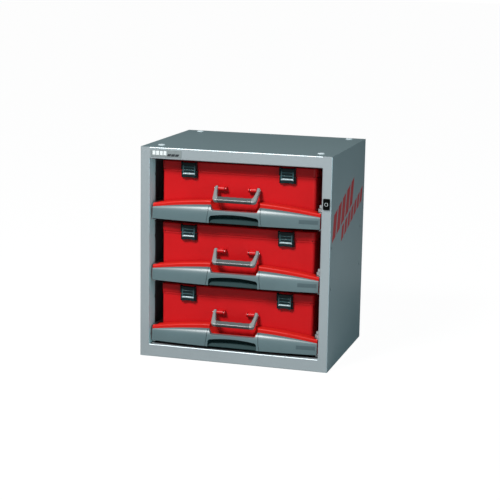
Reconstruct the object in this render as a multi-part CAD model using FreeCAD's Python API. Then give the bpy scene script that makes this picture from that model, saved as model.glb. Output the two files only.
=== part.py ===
import FreeCAD, Part
import math
import os

# Racking cabinet of folded sheet steel with three drawers on telescopic runners.
# A lidded carrying case stands in each drawer. All sizes are in millimetres.
# The model is drawn with X across, Y back from the plane of the front frame and Z up from the
# base, and is moved at the end so that the origin is the centre of the base.

V = FreeCAD.Vector

# ---------------------------------------------------------------- driving dimensions
# carrying case
CASE_WIDTH = 410.0
CASE_DEPTH = 325.0
CASE_HEIGHT = 146.5
CASE_WALL = 2.5
CASE_CORNER = 8.0
CASE_FOOT_ROUND = 4.0
BEAD_DROP = 3.5
BEAD_HEIGHT = 2.4
BEAD_PROUD = 1.4
LID_HEIGHT = 21.5
LID_OVERHANG = 2.0
LID_ROUND = 3.0
LID_RIM = 16.0
NIB_HEIGHT = 1.5
NIB_RADIUS = 4.0
NIB_INSET = 36.5
CASE_SETBACK = 37.0
CASE_SIDE_GAP = 9.6
CASE_HEAD_GAP = 12.0

# telescopic runner
RUNNER_LENGTH = 350.0
RUNNER_HEIGHT = 45.0
RUNNER_THICK = 12.7
RUNNER_SETBACK = 20.0
RUNNER_CENTRE = 17.0
RUNNER_SHEET = 1.2
RUNNER_STEP = 1.0
BALL_GAP = 2.7
CAGE_CLEAR = 0.3
CAGE_LENGTH = 170.0
CAGE_SETBACK = 90.0
DRAWER_TRAVEL = 340.0

# cabinet
LEVELS = 3
SHEET = 1.2
BEND = 1.4
STILE_WIDTH = 25.5
STILE_RETURN = 43.0
TOP_RAIL = 30.0
BOTTOM_RAIL = 33.0
RAIL_LIP = 20.0
REAR_FLANGE = 18.0
CAP_FLANGE = 22.0
REAR_ROOM = 20.0
HEAD_CLEAR = 5.5
DRAWER_SILL = 9.0
UPRIGHT_WIDTH = 36.0
UPRIGHT_LAP = 13.0

# drawer
TRAY_SHEET = 1.2
TRAY_RISE = 3.8
TRAY_WALL = 36.0
TRAY_REAR_WALL = 26.0
TRAY_FRONT_FLANGE = 24.0
TRAY_REAR_GAP = 2.0
FRONT_GAP = 5.0
FRONT_PLANE = 12.0
FRONT_THICK = 22.0
FRONT_WING = 6.0
FRONT_WALL = 4.0
FRONT_END_RISE = 39.6
FRONT_CREST = 58.0
FRONT_ROUND = 5.0
FRONT_END_CLEAR = 2.6
FRONT_CELLS = 3
FRONT_RIB = 3.0

# bumper: bow and arch of its front, in plan and in elevation
BUMPER_BULGE_MID = 17.5
BUMPER_BULGE_END = 4.2
BUMPER_RISE_MID = 46.5
BUMPER_RISE_END = 30.5
SEAM_TOP = 68.7
SEAM_BOTTOM = 74.0
SEAM_GAP = 0.8

# grip and hand recess
GRIP_BRIDGE = 32.0
GRIP_NOTCH_BOTTOM = 60.0
GRIP_NOTCH_TOP = 66.4
GRIP_NOTCH_ROUND = 5.0
POCKET_HALF = 66.0
POCKET_RISE = 24.0
POCKET_SHOULDER = 19.5
POCKET_ROUND = 8.0
POCKET_DEPTH = 24.0
POCKET_WALL = 3.0
RECESS_FLOOR = 30.4
RECESS_FLARE = 14.0
FIT = 0.3

# handle
HANDLE_PIVOT_RISE = 85.5
HANDLE_PIVOT_GAP = 7.5
HANDLE_HALF = 61.0
HANDLE_TAPER = 3.0
HANDLE_REACH = 35.5
HANDLE_ARM = 9.0
HANDLE_GRIP = 14.0
HANDLE_DEPTH = 12.0
HANDLE_ROUND = 3.0
HANDLE_SLEEVE = 45.5
HANDLE_GROOVE = 0.8
HANDLE_GROOVE_DEPTH = 0.5
HANDLE_ANGLE = 46.0
HANDLE_WAVES = 4
HANDLE_WAVE_RISE = 2.0
HANDLE_PIN_RADIUS = 2.5
HANDLE_LUG_RADIUS = 5.5
HANDLE_LUG_LENGTH = 17.5
HANDLE_NIB_GAP = 2.0
HANDLE_NIB_LENGTH = 3.0

# latch
LATCH_INSET = 74.0
LATCH_WIDTH = 34.0
LATCH_LENGTH = 37.0
LATCH_THICK = 4.0
LATCH_RAIL = 3.2
LATCH_RIDGE = 1.4
LATCH_PULL = 2.4
LATCH_ARCH = 2.6
LATCH_PIVOT_DROP = 4.6
LATCH_PIVOT_GAP = 4.8
LATCH_PIN_RADIUS = 1.5
LATCH_CHEEK = 3.6
LATCH_CHEEK_GAP = 0.6
LATCH_BASE = 1.5
KEEPER_RISE = 4.9
KEEPER_HEIGHT = 3.2
KEEPER_DEPTH = 1.9
KEEPER_HOOK = 2.4

# rear hinge of the case
HINGE_INSET = 75.0
HINGE_LENGTH = 60.0
HINGE_PIN_RADIUS = 2.0
HINGE_KNUCKLE_RADIUS = 4.0
HINGE_KNUCKLES = 3
HINGE_GAP = 0.6

# lock
LOCK_RISE = 67.0
LOCK_PLATE_WIDTH = 17.0
LOCK_PLATE_HEIGHT = 28.0
LOCK_PLATE_THICK = 3.0
LOCK_BARREL_RADIUS = 8.0
LOCK_BARREL_LENGTH = 18.0
LOCK_PLUG_RADIUS = 6.0
LOCK_PLUG_PROUD = 0.5
LOCK_KEYWAY = 1.4
CAM_THROW = 7.0
CAM_THICK = 2.0
CAM_PIN_RADIUS = 1.5
BAR_SETBACK = 22.0
BAR_THICK = 3.0
BAR_WIDTH = 14.0
BAR_SIDE_CLEAR = 0.5
BAR_END_ROOM = 24.0
TONGUE_HEIGHT = 8.0
TONGUE_WIDTH = 10.0
TONGUE_OVER_KEEPER = 2.0
KEEPER_TAB_GAP = 1.0
KEEPER_TAB_THICK = 2.0
KEEPER_TAB_WIDTH = 10.0
KEEPER_TAB_HEIGHT = 9.0
GUIDE_HEIGHT = 12.0
GUIDE_WALL = 2.5

# label plate on the top rail
LABEL_INSET = 2.1
LABEL_WIDTH = 84.0
LABEL_HEIGHT = 18.9
LABEL_THICK = 0.8
LABEL_DROP = 5.9

# holes, plugs and screws
STACK_HOLE_X = 213.0
STACK_HOLE_FRONT = 47.0
STACK_HOLE_REAR = 24.0
STACK_HOLE_RADIUS = 8.0
BASE_HOLE_RADIUS = 4.5
PLUG_HEAD_RADIUS = 9.5
PLUG_HEAD_HEIGHT = 2.0
PLUG_STEM = 6.0
SIDE_HOLE_RADIUS = 3.5
SIDE_HOLE_FRONT = 15.0
SIDE_HOLE_REAR = 40.0
SIDE_HOLE_LOW = 215.8
SIDE_HOLE_PITCH = 106.4
HANG_SLOT_X = 178.0
HANG_SLOT_LENGTH = 14.0
HANG_SLOT_WIDTH = 5.0
HANG_SLOT_REAR = 9.0
NOTCH_RISE = 29.65
NOTCH_HEIGHT = 7.0
NOTCH_DEPTH = 4.0
SCREW_RADIUS = 2.0
SCREW_HEAD_RADIUS = 4.0
SCREW_HEAD = 0.6
SCREW_INSET = 11.0
RIVET_RADIUS = 2.0
RIVET_HEAD_RADIUS = 3.6
RIVET_HEAD = 1.0
RIVET_ROWS = 6
RIVET_END = 28.0
SHAFT_CLEAR = 0.05

# ---------------------------------------------------------------- sizes worked out from them
HALF_TRAY = CASE_WIDTH / 2 + CASE_SIDE_GAP + TRAY_SHEET
HALF_OPENING = HALF_TRAY + RUNNER_THICK
HALF_WIDTH = HALF_OPENING + STILE_WIDTH
HALF_INSIDE = HALF_WIDTH - SHEET
HALF_FRONT = HALF_OPENING - FRONT_GAP
CASE_FLOOR = TRAY_RISE + TRAY_SHEET
CASE_TOP = CASE_FLOOR + CASE_HEIGHT
LID_TOP = CASE_TOP - NIB_HEIGHT
NIB_OFFSET = CASE_WIDTH / 2 - NIB_INSET
LATCH_OFFSET = CASE_WIDTH / 2 - LATCH_INSET
HINGE_OFFSET = CASE_WIDTH / 2 - HINGE_INSET
SEAM_RISE = LID_TOP - LID_HEIGHT + FIT
LEVEL_PITCH = CASE_TOP + CASE_HEAD_GAP
FIRST_LEVEL = BOTTOM_RAIL + DRAWER_SILL
HEIGHT = FIRST_LEVEL + LEVELS * LEVEL_PITCH - CASE_HEAD_GAP + HEAD_CLEAR + TOP_RAIL
DEPTH = RUNNER_SETBACK + RUNNER_LENGTH + REAR_ROOM
RUNNER_BACK = RUNNER_SETBACK + RUNNER_LENGTH
RUNNER_TOP = RUNNER_CENTRE + RUNNER_HEIGHT / 2
FRONT_BACK = FRONT_PLANE + FRONT_THICK
HALF_FRONT_BODY = HALF_TRAY - TRAY_SHEET - FRONT_END_CLEAR
BUMPER_FACE = FRONT_PLANE - BUMPER_BULGE_MID
UPRIGHT_BACK = RUNNER_BACK - 2 * SHEET
UPRIGHT_FRONT = UPRIGHT_BACK - UPRIGHT_WIDTH
HANDLE_PIVOT_Y = CASE_SETBACK - HANDLE_PIVOT_GAP
LID_FACE = CASE_SETBACK - LID_OVERHANG
LATCH_PIVOT_Y = LID_FACE - LATCH_PIVOT_GAP
LATCH_PIVOT_Z = LID_TOP - LATCH_PIVOT_DROP
LOCK_X = HALF_OPENING + STILE_WIDTH / 2
LOCK_Z = FIRST_LEVEL + (LEVELS - 1) * LEVEL_PITCH + LOCK_RISE
BAR_TRAVEL = 2 * CAM_THROW * math.sin(math.radians(45))
BAR_LEFT = HALF_OPENING + SHEET + BAR_SIDE_CLEAR
BAR_RIGHT = BAR_LEFT + BAR_WIDTH
KEEPER_TAB_Y = BAR_SETBACK + BAR_THICK + KEEPER_TAB_GAP
KEEPER_TAB_LOW = RUNNER_TOP + 1.5
KEEPER_TAB_TOP = KEEPER_TAB_LOW + KEEPER_TAB_HEIGHT
TONGUE_LOW = KEEPER_TAB_TOP + TONGUE_OVER_KEEPER


def level_base(level):
    """Height of the bumper's lower edge on a level, counted from 0 at the bottom."""
    return FIRST_LEVEL + level * LEVEL_PITCH


# ---------------------------------------------------------------- drawing helpers
def rounded_wire(points, radii):
    """Closed wire through points with each corner rounded by its own radius."""
    count = len(points)
    starts = []
    ends = []
    middles = []
    for i in range(count):
        corner = points[i]
        back = (points[i - 1] - corner).normalize()
        ahead = (points[(i + 1) % count] - corner).normalize()
        half = back.getAngle(ahead) / 2
        if radii[i] <= 0:
            starts.append(corner)
            ends.append(corner)
            middles.append(None)
            continue
        reach = radii[i] / math.tan(half)
        inward = (back + ahead).normalize()
        starts.append(corner + back * reach)
        ends.append(corner + ahead * reach)
        middles.append(corner + inward * (radii[i] / math.sin(half) - radii[i]))
    edges = []
    for i in range(count):
        if middles[i] is not None:
            edges.append(Part.Arc(starts[i], middles[i], ends[i]).toShape())
        following = starts[(i + 1) % count]
        if (following - ends[i]).Length > 1e-6:
            edges.append(Part.makeLine(ends[i], following))
    return Part.Wire(edges)


def in_plane(plane, a, b, height):
    """Point with coordinates a and b in a named plane, at a height along its normal."""
    if plane == "XY":
        return V(a, b, height)
    if plane == "XZ":
        return V(a, height, b)
    return V(height, a, b)


def normal_of(plane):
    """Unit vector along the normal of a named plane."""
    return in_plane(plane, 0, 0, 1)


def prism(plane, pairs, low, high, radii=0.0):
    """Solid between low and high along a plane's normal, from an outline with rounded corners."""
    if not isinstance(radii, (list, tuple)):
        radii = [radii] * len(pairs)
    points = [in_plane(plane, a, b, low) for a, b in pairs]
    return Part.Face(rounded_wire(points, radii)).extrude(normal_of(plane) * (high - low))


def block(x0, x1, y0, y1, z0, z1):
    """Box between two corners."""
    return Part.makeBox(x1 - x0, y1 - y0, z1 - z0, V(x0, y0, z0))


def rectangle(a0, a1, b0, b1):
    """Corners of a rectangle, in order."""
    return [(a0, b0), (a1, b0), (a1, b1), (a0, b1)]


def rod(radius, start, end):
    """Round bar between two points."""
    return Part.makeCylinder(radius, (end - start).Length, start, end - start)


def folded_sheet(plane, path, thickness, bend, low, high):
    """Sheet folded along an open path, with its thickness on the right of the path."""
    steps = []
    for i in range(len(path) - 1):
        run = V(path[i + 1][0] - path[i][0], path[i + 1][1] - path[i][1], 0).normalize()
        steps.append(run)
    inner = []
    path_radii = [0.0] * len(path)
    inner_radii = [0.0] * len(path)
    for i in range(len(path)):
        before = steps[max(i - 1, 0)]
        after = steps[min(i, len(steps) - 1)]
        right_before = V(before.y, -before.x, 0)
        right_after = V(after.y, -after.x, 0)
        shift = (right_before + right_after) * (thickness / (1 + right_before.dot(right_after)))
        inner.append((path[i][0] + shift.x, path[i][1] + shift.y))
        turn = before.cross(after).z
        if turn < -1e-9:
            path_radii[i] = bend + thickness
            inner_radii[i] = bend
        elif turn > 1e-9:
            path_radii[i] = bend
            inner_radii[i] = bend + thickness
    outline = list(path) + inner[::-1]
    return prism(plane, outline, low, high, path_radii + inner_radii[::-1])


def mirror_x(shape):
    """Copy mirrored across the middle plane."""
    return shape.mirror(V(0, 0, 0), V(1, 0, 0))


def both_sides(shape):
    """The shape and its mirror image, as separate solids."""
    return [shape, mirror_x(shape)]


def rise_at(x, middle, end):
    """Height of an arch over the width of a drawer front: middle at the centre, end at its ends."""
    return middle - (middle - end) * (x / HALF_FRONT) ** 2


def arch_edge(x0, x1, middle, end, y):
    """Edge of an arch between two places across the width."""
    xm = (x0 + x1) / 2
    points = [V(x, y, rise_at(x, middle, end)) for x in (x0, xm, x1)]
    return Part.Arc(*points).toShape()


def arched_prism(x0, x1, bottom, middle, end, y0, y1):
    """Solid with a flat bottom and an arched top, between two places across the width."""
    top = arch_edge(x0, x1, middle, end, y0)
    low_left = V(x0, y0, bottom)
    low_right = V(x1, y0, bottom)
    wire = Part.Wire([
        Part.makeLine(low_left, top.Vertexes[0].Point),
        top,
        Part.makeLine(top.Vertexes[1].Point, low_right),
        Part.makeLine(low_right, low_left),
    ])
    return Part.Face(wire).extrude(V(0, y1 - y0, 0))


def merged(shapes):
    """One solid from touching shapes, without the seams between them."""
    return shapes[0].multiFuse(shapes[1:]).removeSplitter()


# ---------------------------------------------------------------- cabinet
def side_panel():
    """Right-hand side with the stile, its return and the rear flange; rails meet it flush."""
    path = [
        (HALF_WIDTH - REAR_FLANGE, DEPTH - SHEET),
        (HALF_WIDTH, DEPTH - SHEET),
        (HALF_WIDTH, 0),
        (HALF_OPENING, 0),
        (HALF_OPENING, STILE_RETURN),
    ]
    panel = folded_sheet("XY", path, SHEET, BEND, 0, HEIGHT)
    cuts = []
    for level in range(LEVELS):
        for rise in (NOTCH_RISE, NOTCH_RISE + LEVEL_PITCH / 2):
            z = level_base(level) + rise
            cuts.append(block(HALF_OPENING - 1, HALF_OPENING + SHEET + 1,
                              STILE_RETURN - NOTCH_DEPTH, STILE_RETURN + 1,
                              z - NOTCH_HEIGHT / 2, z + NOTCH_HEIGHT / 2))
    for y, z in side_hole_places():
        cuts.append(rod(SIDE_HOLE_RADIUS, V(HALF_INSIDE - 1, y, z), V(HALF_WIDTH + 1, y, z)))
    for z0, z1 in ((-1, SHEET), (HEIGHT - SHEET, HEIGHT + 1)):
        cuts.append(block(HALF_OPENING - 1, HALF_INSIDE, SHEET, STILE_RETURN + 1, z0, z1))
    welds = [block(HALF_OPENING, HALF_OPENING + BEND + SHEET, 0, SHEET, z0, z1)
             for z0, z1 in ((0, BOTTOM_RAIL), (HEIGHT - TOP_RAIL, HEIGHT))]
    return merged([panel] + welds).cut(cuts + rivet_holes())


def side_hole_places():
    """Depth and height of the holes that join one cabinet to the next."""
    places = []
    for y in (SIDE_HOLE_FRONT, DEPTH - SIDE_HOLE_REAR):
        for row in range(2):
            places.append((y, SIDE_HOLE_LOW + row * SIDE_HOLE_PITCH))
    return places


def stack_hole_places():
    """Places of the four holes in the top and in the base."""
    return [(side * STACK_HOLE_X, y) for side in (-1, 1)
            for y in (STACK_HOLE_FRONT, DEPTH - STACK_HOLE_REAR)]


def cap_panel(rail, hole_radius):
    """Base panel with its front rail between the stiles; the top panel is the same, turned over."""
    path = [
        (DEPTH - SHEET, 0),
        (0, 0),
        (0, rail),
        (RAIL_LIP, rail),
    ]
    rail_part = folded_sheet("YZ", path, SHEET, BEND, -HALF_OPENING, HALF_OPENING)
    inside_bend = DEPTH - 2 * SHEET - BEND
    wide = block(-HALF_INSIDE, HALF_INSIDE, SHEET, inside_bend, 0, SHEET)
    rear = block(-HALF_OPENING, HALF_OPENING, inside_bend - 1, DEPTH - SHEET, 0, SHEET)
    flange_back = DEPTH - REAR_FLANGE
    flange = block(HALF_INSIDE - SHEET, HALF_INSIDE, STILE_RETURN, flange_back, 0, CAP_FLANGE)
    panel = merged([rail_part, wide, rear] + both_sides(flange))
    cuts = [rod(hole_radius, V(x, y, -1), V(x, y, SHEET + 1)) for x, y in stack_hole_places()]
    return panel.cut(cuts)


def top_panel():
    """Top panel with its front rail, plug holes and two slots for hanging the cabinet."""
    panel = cap_panel(TOP_RAIL, STACK_HOLE_RADIUS)
    panel = panel.mirror(V(0, 0, 0), V(0, 0, 1))
    panel.translate(V(0, 0, HEIGHT))
    slots = []
    for side in (-1, 1):
        x = side * HANG_SLOT_X
        y = DEPTH - HANG_SLOT_REAR
        slots.append(block(x - HANG_SLOT_LENGTH / 2, x + HANG_SLOT_LENGTH / 2,
                           y - HANG_SLOT_WIDTH / 2, y + HANG_SLOT_WIDTH / 2,
                           HEIGHT - SHEET - 1, HEIGHT + 1))
    return panel.cut(slots)


def back_panel():
    """Flat sheet that closes the back, with the rivets that hold it to the sides' flanges."""
    parts = [block(-HALF_WIDTH, HALF_WIDTH, DEPTH - SHEET, DEPTH, 0, HEIGHT)]
    for x, z in rivet_places():
        parts += both_sides(rivet(x, z))
    return merged(parts)


def rivet_places():
    """Across and up: places of the rivets on the right-hand rear flange."""
    step = (HEIGHT - 2 * RIVET_END) / (RIVET_ROWS - 1)
    return [(HALF_WIDTH - REAR_FLANGE / 2, RIVET_END + row * step) for row in range(RIVET_ROWS)]


def rivet_holes():
    """Holes for the rivets in the right-hand rear flange."""
    return [rod(RIVET_RADIUS + SHAFT_CLEAR, V(x, DEPTH - 3 * SHEET, z), V(x, DEPTH, z))
            for x, z in rivet_places()]


def rivet(x, z):
    """Blind rivet with a low conical head on the back."""
    shank = rod(RIVET_RADIUS, V(x, DEPTH - 2 * SHEET, z), V(x, DEPTH, z))
    head = Part.makeCone(RIVET_HEAD_RADIUS, RIVET_HEAD_RADIUS * 0.6, RIVET_HEAD,
                         V(x, DEPTH, z), V(0, 1, 0))
    return merged([shank, head])


def rear_upright():
    """Right-hand hat-section column that carries the rear ends of the runners."""
    path = [
        (HALF_INSIDE - SHEET, UPRIGHT_FRONT - UPRIGHT_LAP),
        (HALF_INSIDE - SHEET, UPRIGHT_FRONT),
        (HALF_OPENING, UPRIGHT_FRONT),
        (HALF_OPENING, UPRIGHT_BACK),
        (HALF_INSIDE - SHEET, UPRIGHT_BACK),
        (HALF_INSIDE - SHEET, UPRIGHT_BACK + UPRIGHT_LAP),
    ]
    column = folded_sheet("XY", path, SHEET, BEND, CAP_FLANGE, HEIGHT - CAP_FLANGE)
    return column


def top_plug(x, y):
    """Plastic plug with a low head that closes a hole in the top."""
    head = Part.makeCone(PLUG_HEAD_RADIUS, PLUG_HEAD_RADIUS - PLUG_HEAD_HEIGHT, PLUG_HEAD_HEIGHT,
                         V(x, y, HEIGHT))
    stem_radius = STACK_HOLE_RADIUS - SHAFT_CLEAR
    stem = Part.makeCylinder(stem_radius, PLUG_STEM, V(x, y, HEIGHT - PLUG_STEM))
    return merged([head, stem])


def label_plate():
    """Blank plate on the left of the top rail."""
    left = -HALF_OPENING + LABEL_INSET
    top = HEIGHT - LABEL_DROP
    return prism("XZ", rectangle(left, left + LABEL_WIDTH, top - LABEL_HEIGHT, top),
                 -LABEL_THICK, 0, 1.5)


# ---------------------------------------------------------------- runners (right-hand side)
def runner_channel(face, flange, half_height, tip_first):
    """Channel of a runner: web at face, flanges that reach flange from the cabinet's side.

    face and flange are distances from the surface that the runner is fixed to.
    """
    sign = 1 if tip_first else -1
    path = [
        (HALF_OPENING - flange, RUNNER_CENTRE + sign * half_height),
        (HALF_OPENING - face, RUNNER_CENTRE + sign * half_height),
        (HALF_OPENING - face, RUNNER_CENTRE - sign * half_height),
        (HALF_OPENING - flange, RUNNER_CENTRE - sign * half_height),
    ]
    return path


def runner_outer():
    """Cabinet member of the runner, with the holes of its two screws."""
    path = runner_channel(0, RUNNER_THICK - 3 * RUNNER_STEP, RUNNER_HEIGHT / 2, True)
    member = folded_sheet("XZ", path, RUNNER_SHEET, 0.8, RUNNER_SETBACK, RUNNER_BACK)
    holes = [rod(SCREW_RADIUS + SHAFT_CLEAR, V(HALF_OPENING - 3, y, RUNNER_CENTRE),
                 V(HALF_OPENING + 3, y, RUNNER_CENTRE)) for y in screw_places()]
    return member.cut(holes)


def screw_places():
    """Depths of the two screws that hold a runner."""
    return (RUNNER_SETBACK + SCREW_INSET, (UPRIGHT_FRONT + UPRIGHT_BACK) / 2)


def middle_half_height():
    """Half height of the middle member."""
    return RUNNER_HEIGHT / 2 - RUNNER_SHEET - BALL_GAP


def inner_half_height():
    """Half height of the drawer member."""
    return middle_half_height() - RUNNER_SHEET - BALL_GAP


def runner_middle():
    """Middle member, which travels half as far as the drawer."""
    web = RUNNER_SHEET + RUNNER_STEP
    tip = RUNNER_THICK - RUNNER_SHEET - RUNNER_STEP
    path = runner_channel(web, tip, middle_half_height(), True)
    return folded_sheet("XZ", path, RUNNER_SHEET, 0.8, RUNNER_SETBACK + 1, RUNNER_BACK - 1)


def runner_inner():
    """Drawer member, fixed to the side wall of the tray."""
    tip = 2 * RUNNER_SHEET + 2 * RUNNER_STEP
    path = runner_channel(RUNNER_THICK, tip, inner_half_height(), False)
    return folded_sheet("XZ", path, RUNNER_SHEET, 0.8, RUNNER_SETBACK + 1, RUNNER_BACK - 1)


def cage_strips(outside):
    """Upper and lower ball-cage strips inside the flanges whose half height is outside."""
    top = outside - RUNNER_SHEET - CAGE_CLEAR
    bottom = top - BALL_GAP + 2 * CAGE_CLEAR
    left = HALF_OPENING - RUNNER_THICK + 2 * RUNNER_SHEET + RUNNER_STEP
    right = HALF_OPENING - 2 * RUNNER_SHEET - 2 * RUNNER_STEP
    front = RUNNER_SETBACK + CAGE_SETBACK
    strips = []
    for sign in (-1, 1):
        z0, z1 = sorted((RUNNER_CENTRE + sign * bottom, RUNNER_CENTRE + sign * top))
        strips.append(block(left, right, front, front + CAGE_LENGTH, z0, z1))
    return strips


def runner_screw(y, z):
    """Low-headed screw through the web of the cabinet member."""
    shank = rod(SCREW_RADIUS, V(HALF_OPENING - RUNNER_SHEET, y, z), V(HALF_OPENING + 5, y, z))
    head = rod(SCREW_HEAD_RADIUS, V(HALF_OPENING - RUNNER_SHEET - SCREW_HEAD, y, z),
               V(HALF_OPENING - RUNNER_SHEET, y, z))
    return merged([shank, head])


# ---------------------------------------------------------------- tray and drawer front
def tray_pan():
    """Folded tray that the case stands in, with the tab that the lock catches."""
    front = FRONT_BACK
    back = RUNNER_BACK - TRAY_REAR_GAP
    path = [
        (HALF_TRAY, TRAY_WALL),
        (HALF_TRAY, TRAY_RISE),
        (-HALF_TRAY, TRAY_RISE),
        (-HALF_TRAY, TRAY_WALL),
    ]
    pan = folded_sheet("XZ", path, TRAY_SHEET, BEND, front, back)
    inside = HALF_TRAY - TRAY_SHEET - BEND
    rear = block(-inside, inside, back - TRAY_SHEET, back, TRAY_RISE, TRAY_REAR_WALL)
    flange = block(-inside, inside, front, front + TRAY_SHEET, TRAY_RISE, TRAY_FRONT_FLANGE)
    horn_front = RUNNER_SETBACK + 1
    horn = block(HALF_TRAY - TRAY_SHEET, HALF_TRAY, horn_front, front + 1,
                 RUNNER_CENTRE - inner_half_height(), TRAY_WALL)
    ear = block(HALF_TRAY - TRAY_SHEET, HALF_TRAY, KEEPER_TAB_Y, front + 12,
                TRAY_WALL - 1, KEEPER_TAB_TOP)
    tab = block(HALF_TRAY - TRAY_SHEET, HALF_TRAY + KEEPER_TAB_WIDTH, KEEPER_TAB_Y,
                KEEPER_TAB_Y + KEEPER_TAB_THICK, KEEPER_TAB_LOW, KEEPER_TAB_TOP)
    pan = merged([pan, rear, flange] + both_sides(horn) + [ear, tab])
    return pan


def notch_outline(y, bottom, floor, flare):
    """Outline of the hand recess in a plane across the drawer, narrower by flare."""
    top = FRONT_CREST + 10
    pairs = [
        (-GRIP_NOTCH_TOP + flare, top),
        (-GRIP_NOTCH_TOP + flare, BUMPER_RISE_MID),
        (-bottom + flare, floor),
        (bottom - flare, floor),
        (GRIP_NOTCH_TOP - flare, BUMPER_RISE_MID),
        (GRIP_NOTCH_TOP - flare, top),
    ]
    points = [V(x, y, z) for x, z in pairs]
    return rounded_wire(points, [0, 6, GRIP_NOTCH_ROUND, GRIP_NOTCH_ROUND, 6, 0])


def tray_front():
    """Moulded drawer front with an arched, rounded crest and a flared hand recess."""
    face = arched_prism(-HALF_FRONT, HALF_FRONT, 0, FRONT_CREST, FRONT_END_RISE,
                        FRONT_PLANE, FRONT_PLANE + FRONT_WING)
    crest = [e for e in face.Edges
             if e.BoundBox.YMax < FRONT_PLANE + 0.1 and e.BoundBox.ZMin > FRONT_END_RISE / 2]
    face = face.makeFillet(FRONT_ROUND, crest)
    body = arched_prism(-HALF_FRONT_BODY, HALF_FRONT_BODY, 0, FRONT_CREST, FRONT_END_RISE,
                        FRONT_PLANE + FRONT_ROUND, FRONT_BACK)
    front = merged([face, body])
    recess = Part.makeLoft([
        notch_outline(FRONT_PLANE - 0.5, GRIP_NOTCH_BOTTOM, RECESS_FLOOR, 0),
        notch_outline(FRONT_BACK + 0.5, GRIP_NOTCH_BOTTOM, RECESS_FLOOR, RECESS_FLARE),
    ], True, True)
    bucket_room = block(-POCKET_HALF - POCKET_WALL - FIT, POCKET_HALF + POCKET_WALL + FIT,
                        FRONT_PLANE - 1, pocket_back() + FIT, -1, bucket_top() + FIT)
    cells = []
    first = POCKET_HALF + POCKET_WALL + 2 * FRONT_WALL
    cell = (HALF_FRONT_BODY - FRONT_WALL - first + FRONT_RIB) / FRONT_CELLS
    for i in range(FRONT_CELLS):
        x0 = first + i * cell
        hollow = arched_prism(x0, x0 + cell - FRONT_RIB, FRONT_WALL, FRONT_CREST - FRONT_WALL,
                              FRONT_END_RISE - FRONT_WALL, FRONT_PLANE + FRONT_ROUND, FRONT_BACK + 1)
        cells += both_sides(hollow)
    return front.cut([recess, bucket_room] + cells)


def pocket_back():
    """Depth of the back of the finger pocket's wall."""
    return BUMPER_FACE + POCKET_DEPTH + POCKET_WALL


def bucket_top():
    """Height of the top of the finger pocket's wall."""
    return POCKET_RISE + POCKET_WALL - 0.6


def bumper_section(x):
    """Section of the bumper: upright at its lower edge and rolled back to the drawer front."""
    bulge = rise_at(x, BUMPER_BULGE_MID, BUMPER_BULGE_END)
    rise = rise_at(x, BUMPER_RISE_MID, BUMPER_RISE_END)
    nose = FRONT_PLANE - bulge
    curve = Part.BezierCurve()
    curve.setPoles([
        V(x, nose, 0),
        V(x, nose, 0.6 * rise),
        V(x, nose + 0.3 * bulge, 0.97 * rise),
        V(x, FRONT_PLANE, rise),
    ])
    return Part.Wire([
        curve.toShape(),
        Part.makeLine(V(x, FRONT_PLANE, rise), V(x, FRONT_PLANE, 0)),
        Part.makeLine(V(x, FRONT_PLANE, 0), V(x, nose, 0)),
    ])


def whole_bumper():
    """The bumper across the whole drawer, before it is split into wings and grip."""
    stations = [HALF_FRONT * step / 3 for step in range(-3, 4)]
    return Part.makeLoft([bumper_section(x) for x in stations], True, False)


def seam_side(offset):
    """Space outside the right-hand seam between grip and wing, moved out by an offset."""
    top = V(SEAM_TOP + offset, BUMPER_FACE - 5, BUMPER_RISE_MID + 2)
    middle = V(SEAM_TOP + 0.25 * (SEAM_BOTTOM - SEAM_TOP) + offset, BUMPER_FACE - 5,
               BUMPER_RISE_MID / 2)
    low = V(SEAM_BOTTOM + offset, BUMPER_FACE - 5, -2)
    far_top = V(HALF_FRONT + 5, BUMPER_FACE - 5, BUMPER_RISE_MID + 2)
    far_low = V(HALF_FRONT + 5, BUMPER_FACE - 5, -2)
    wire = Part.Wire([
        Part.Arc(top, middle, low).toShape(),
        Part.makeLine(low, far_low),
        Part.makeLine(far_low, far_top),
        Part.makeLine(far_top, top),
    ])
    return Part.Face(wire).extrude(V(0, BUMPER_BULGE_MID + 10, 0))


def bumper_wing():
    """Right-hand wing of the bumper."""
    return whole_bumper().common(seam_side(SEAM_GAP / 2))


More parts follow.
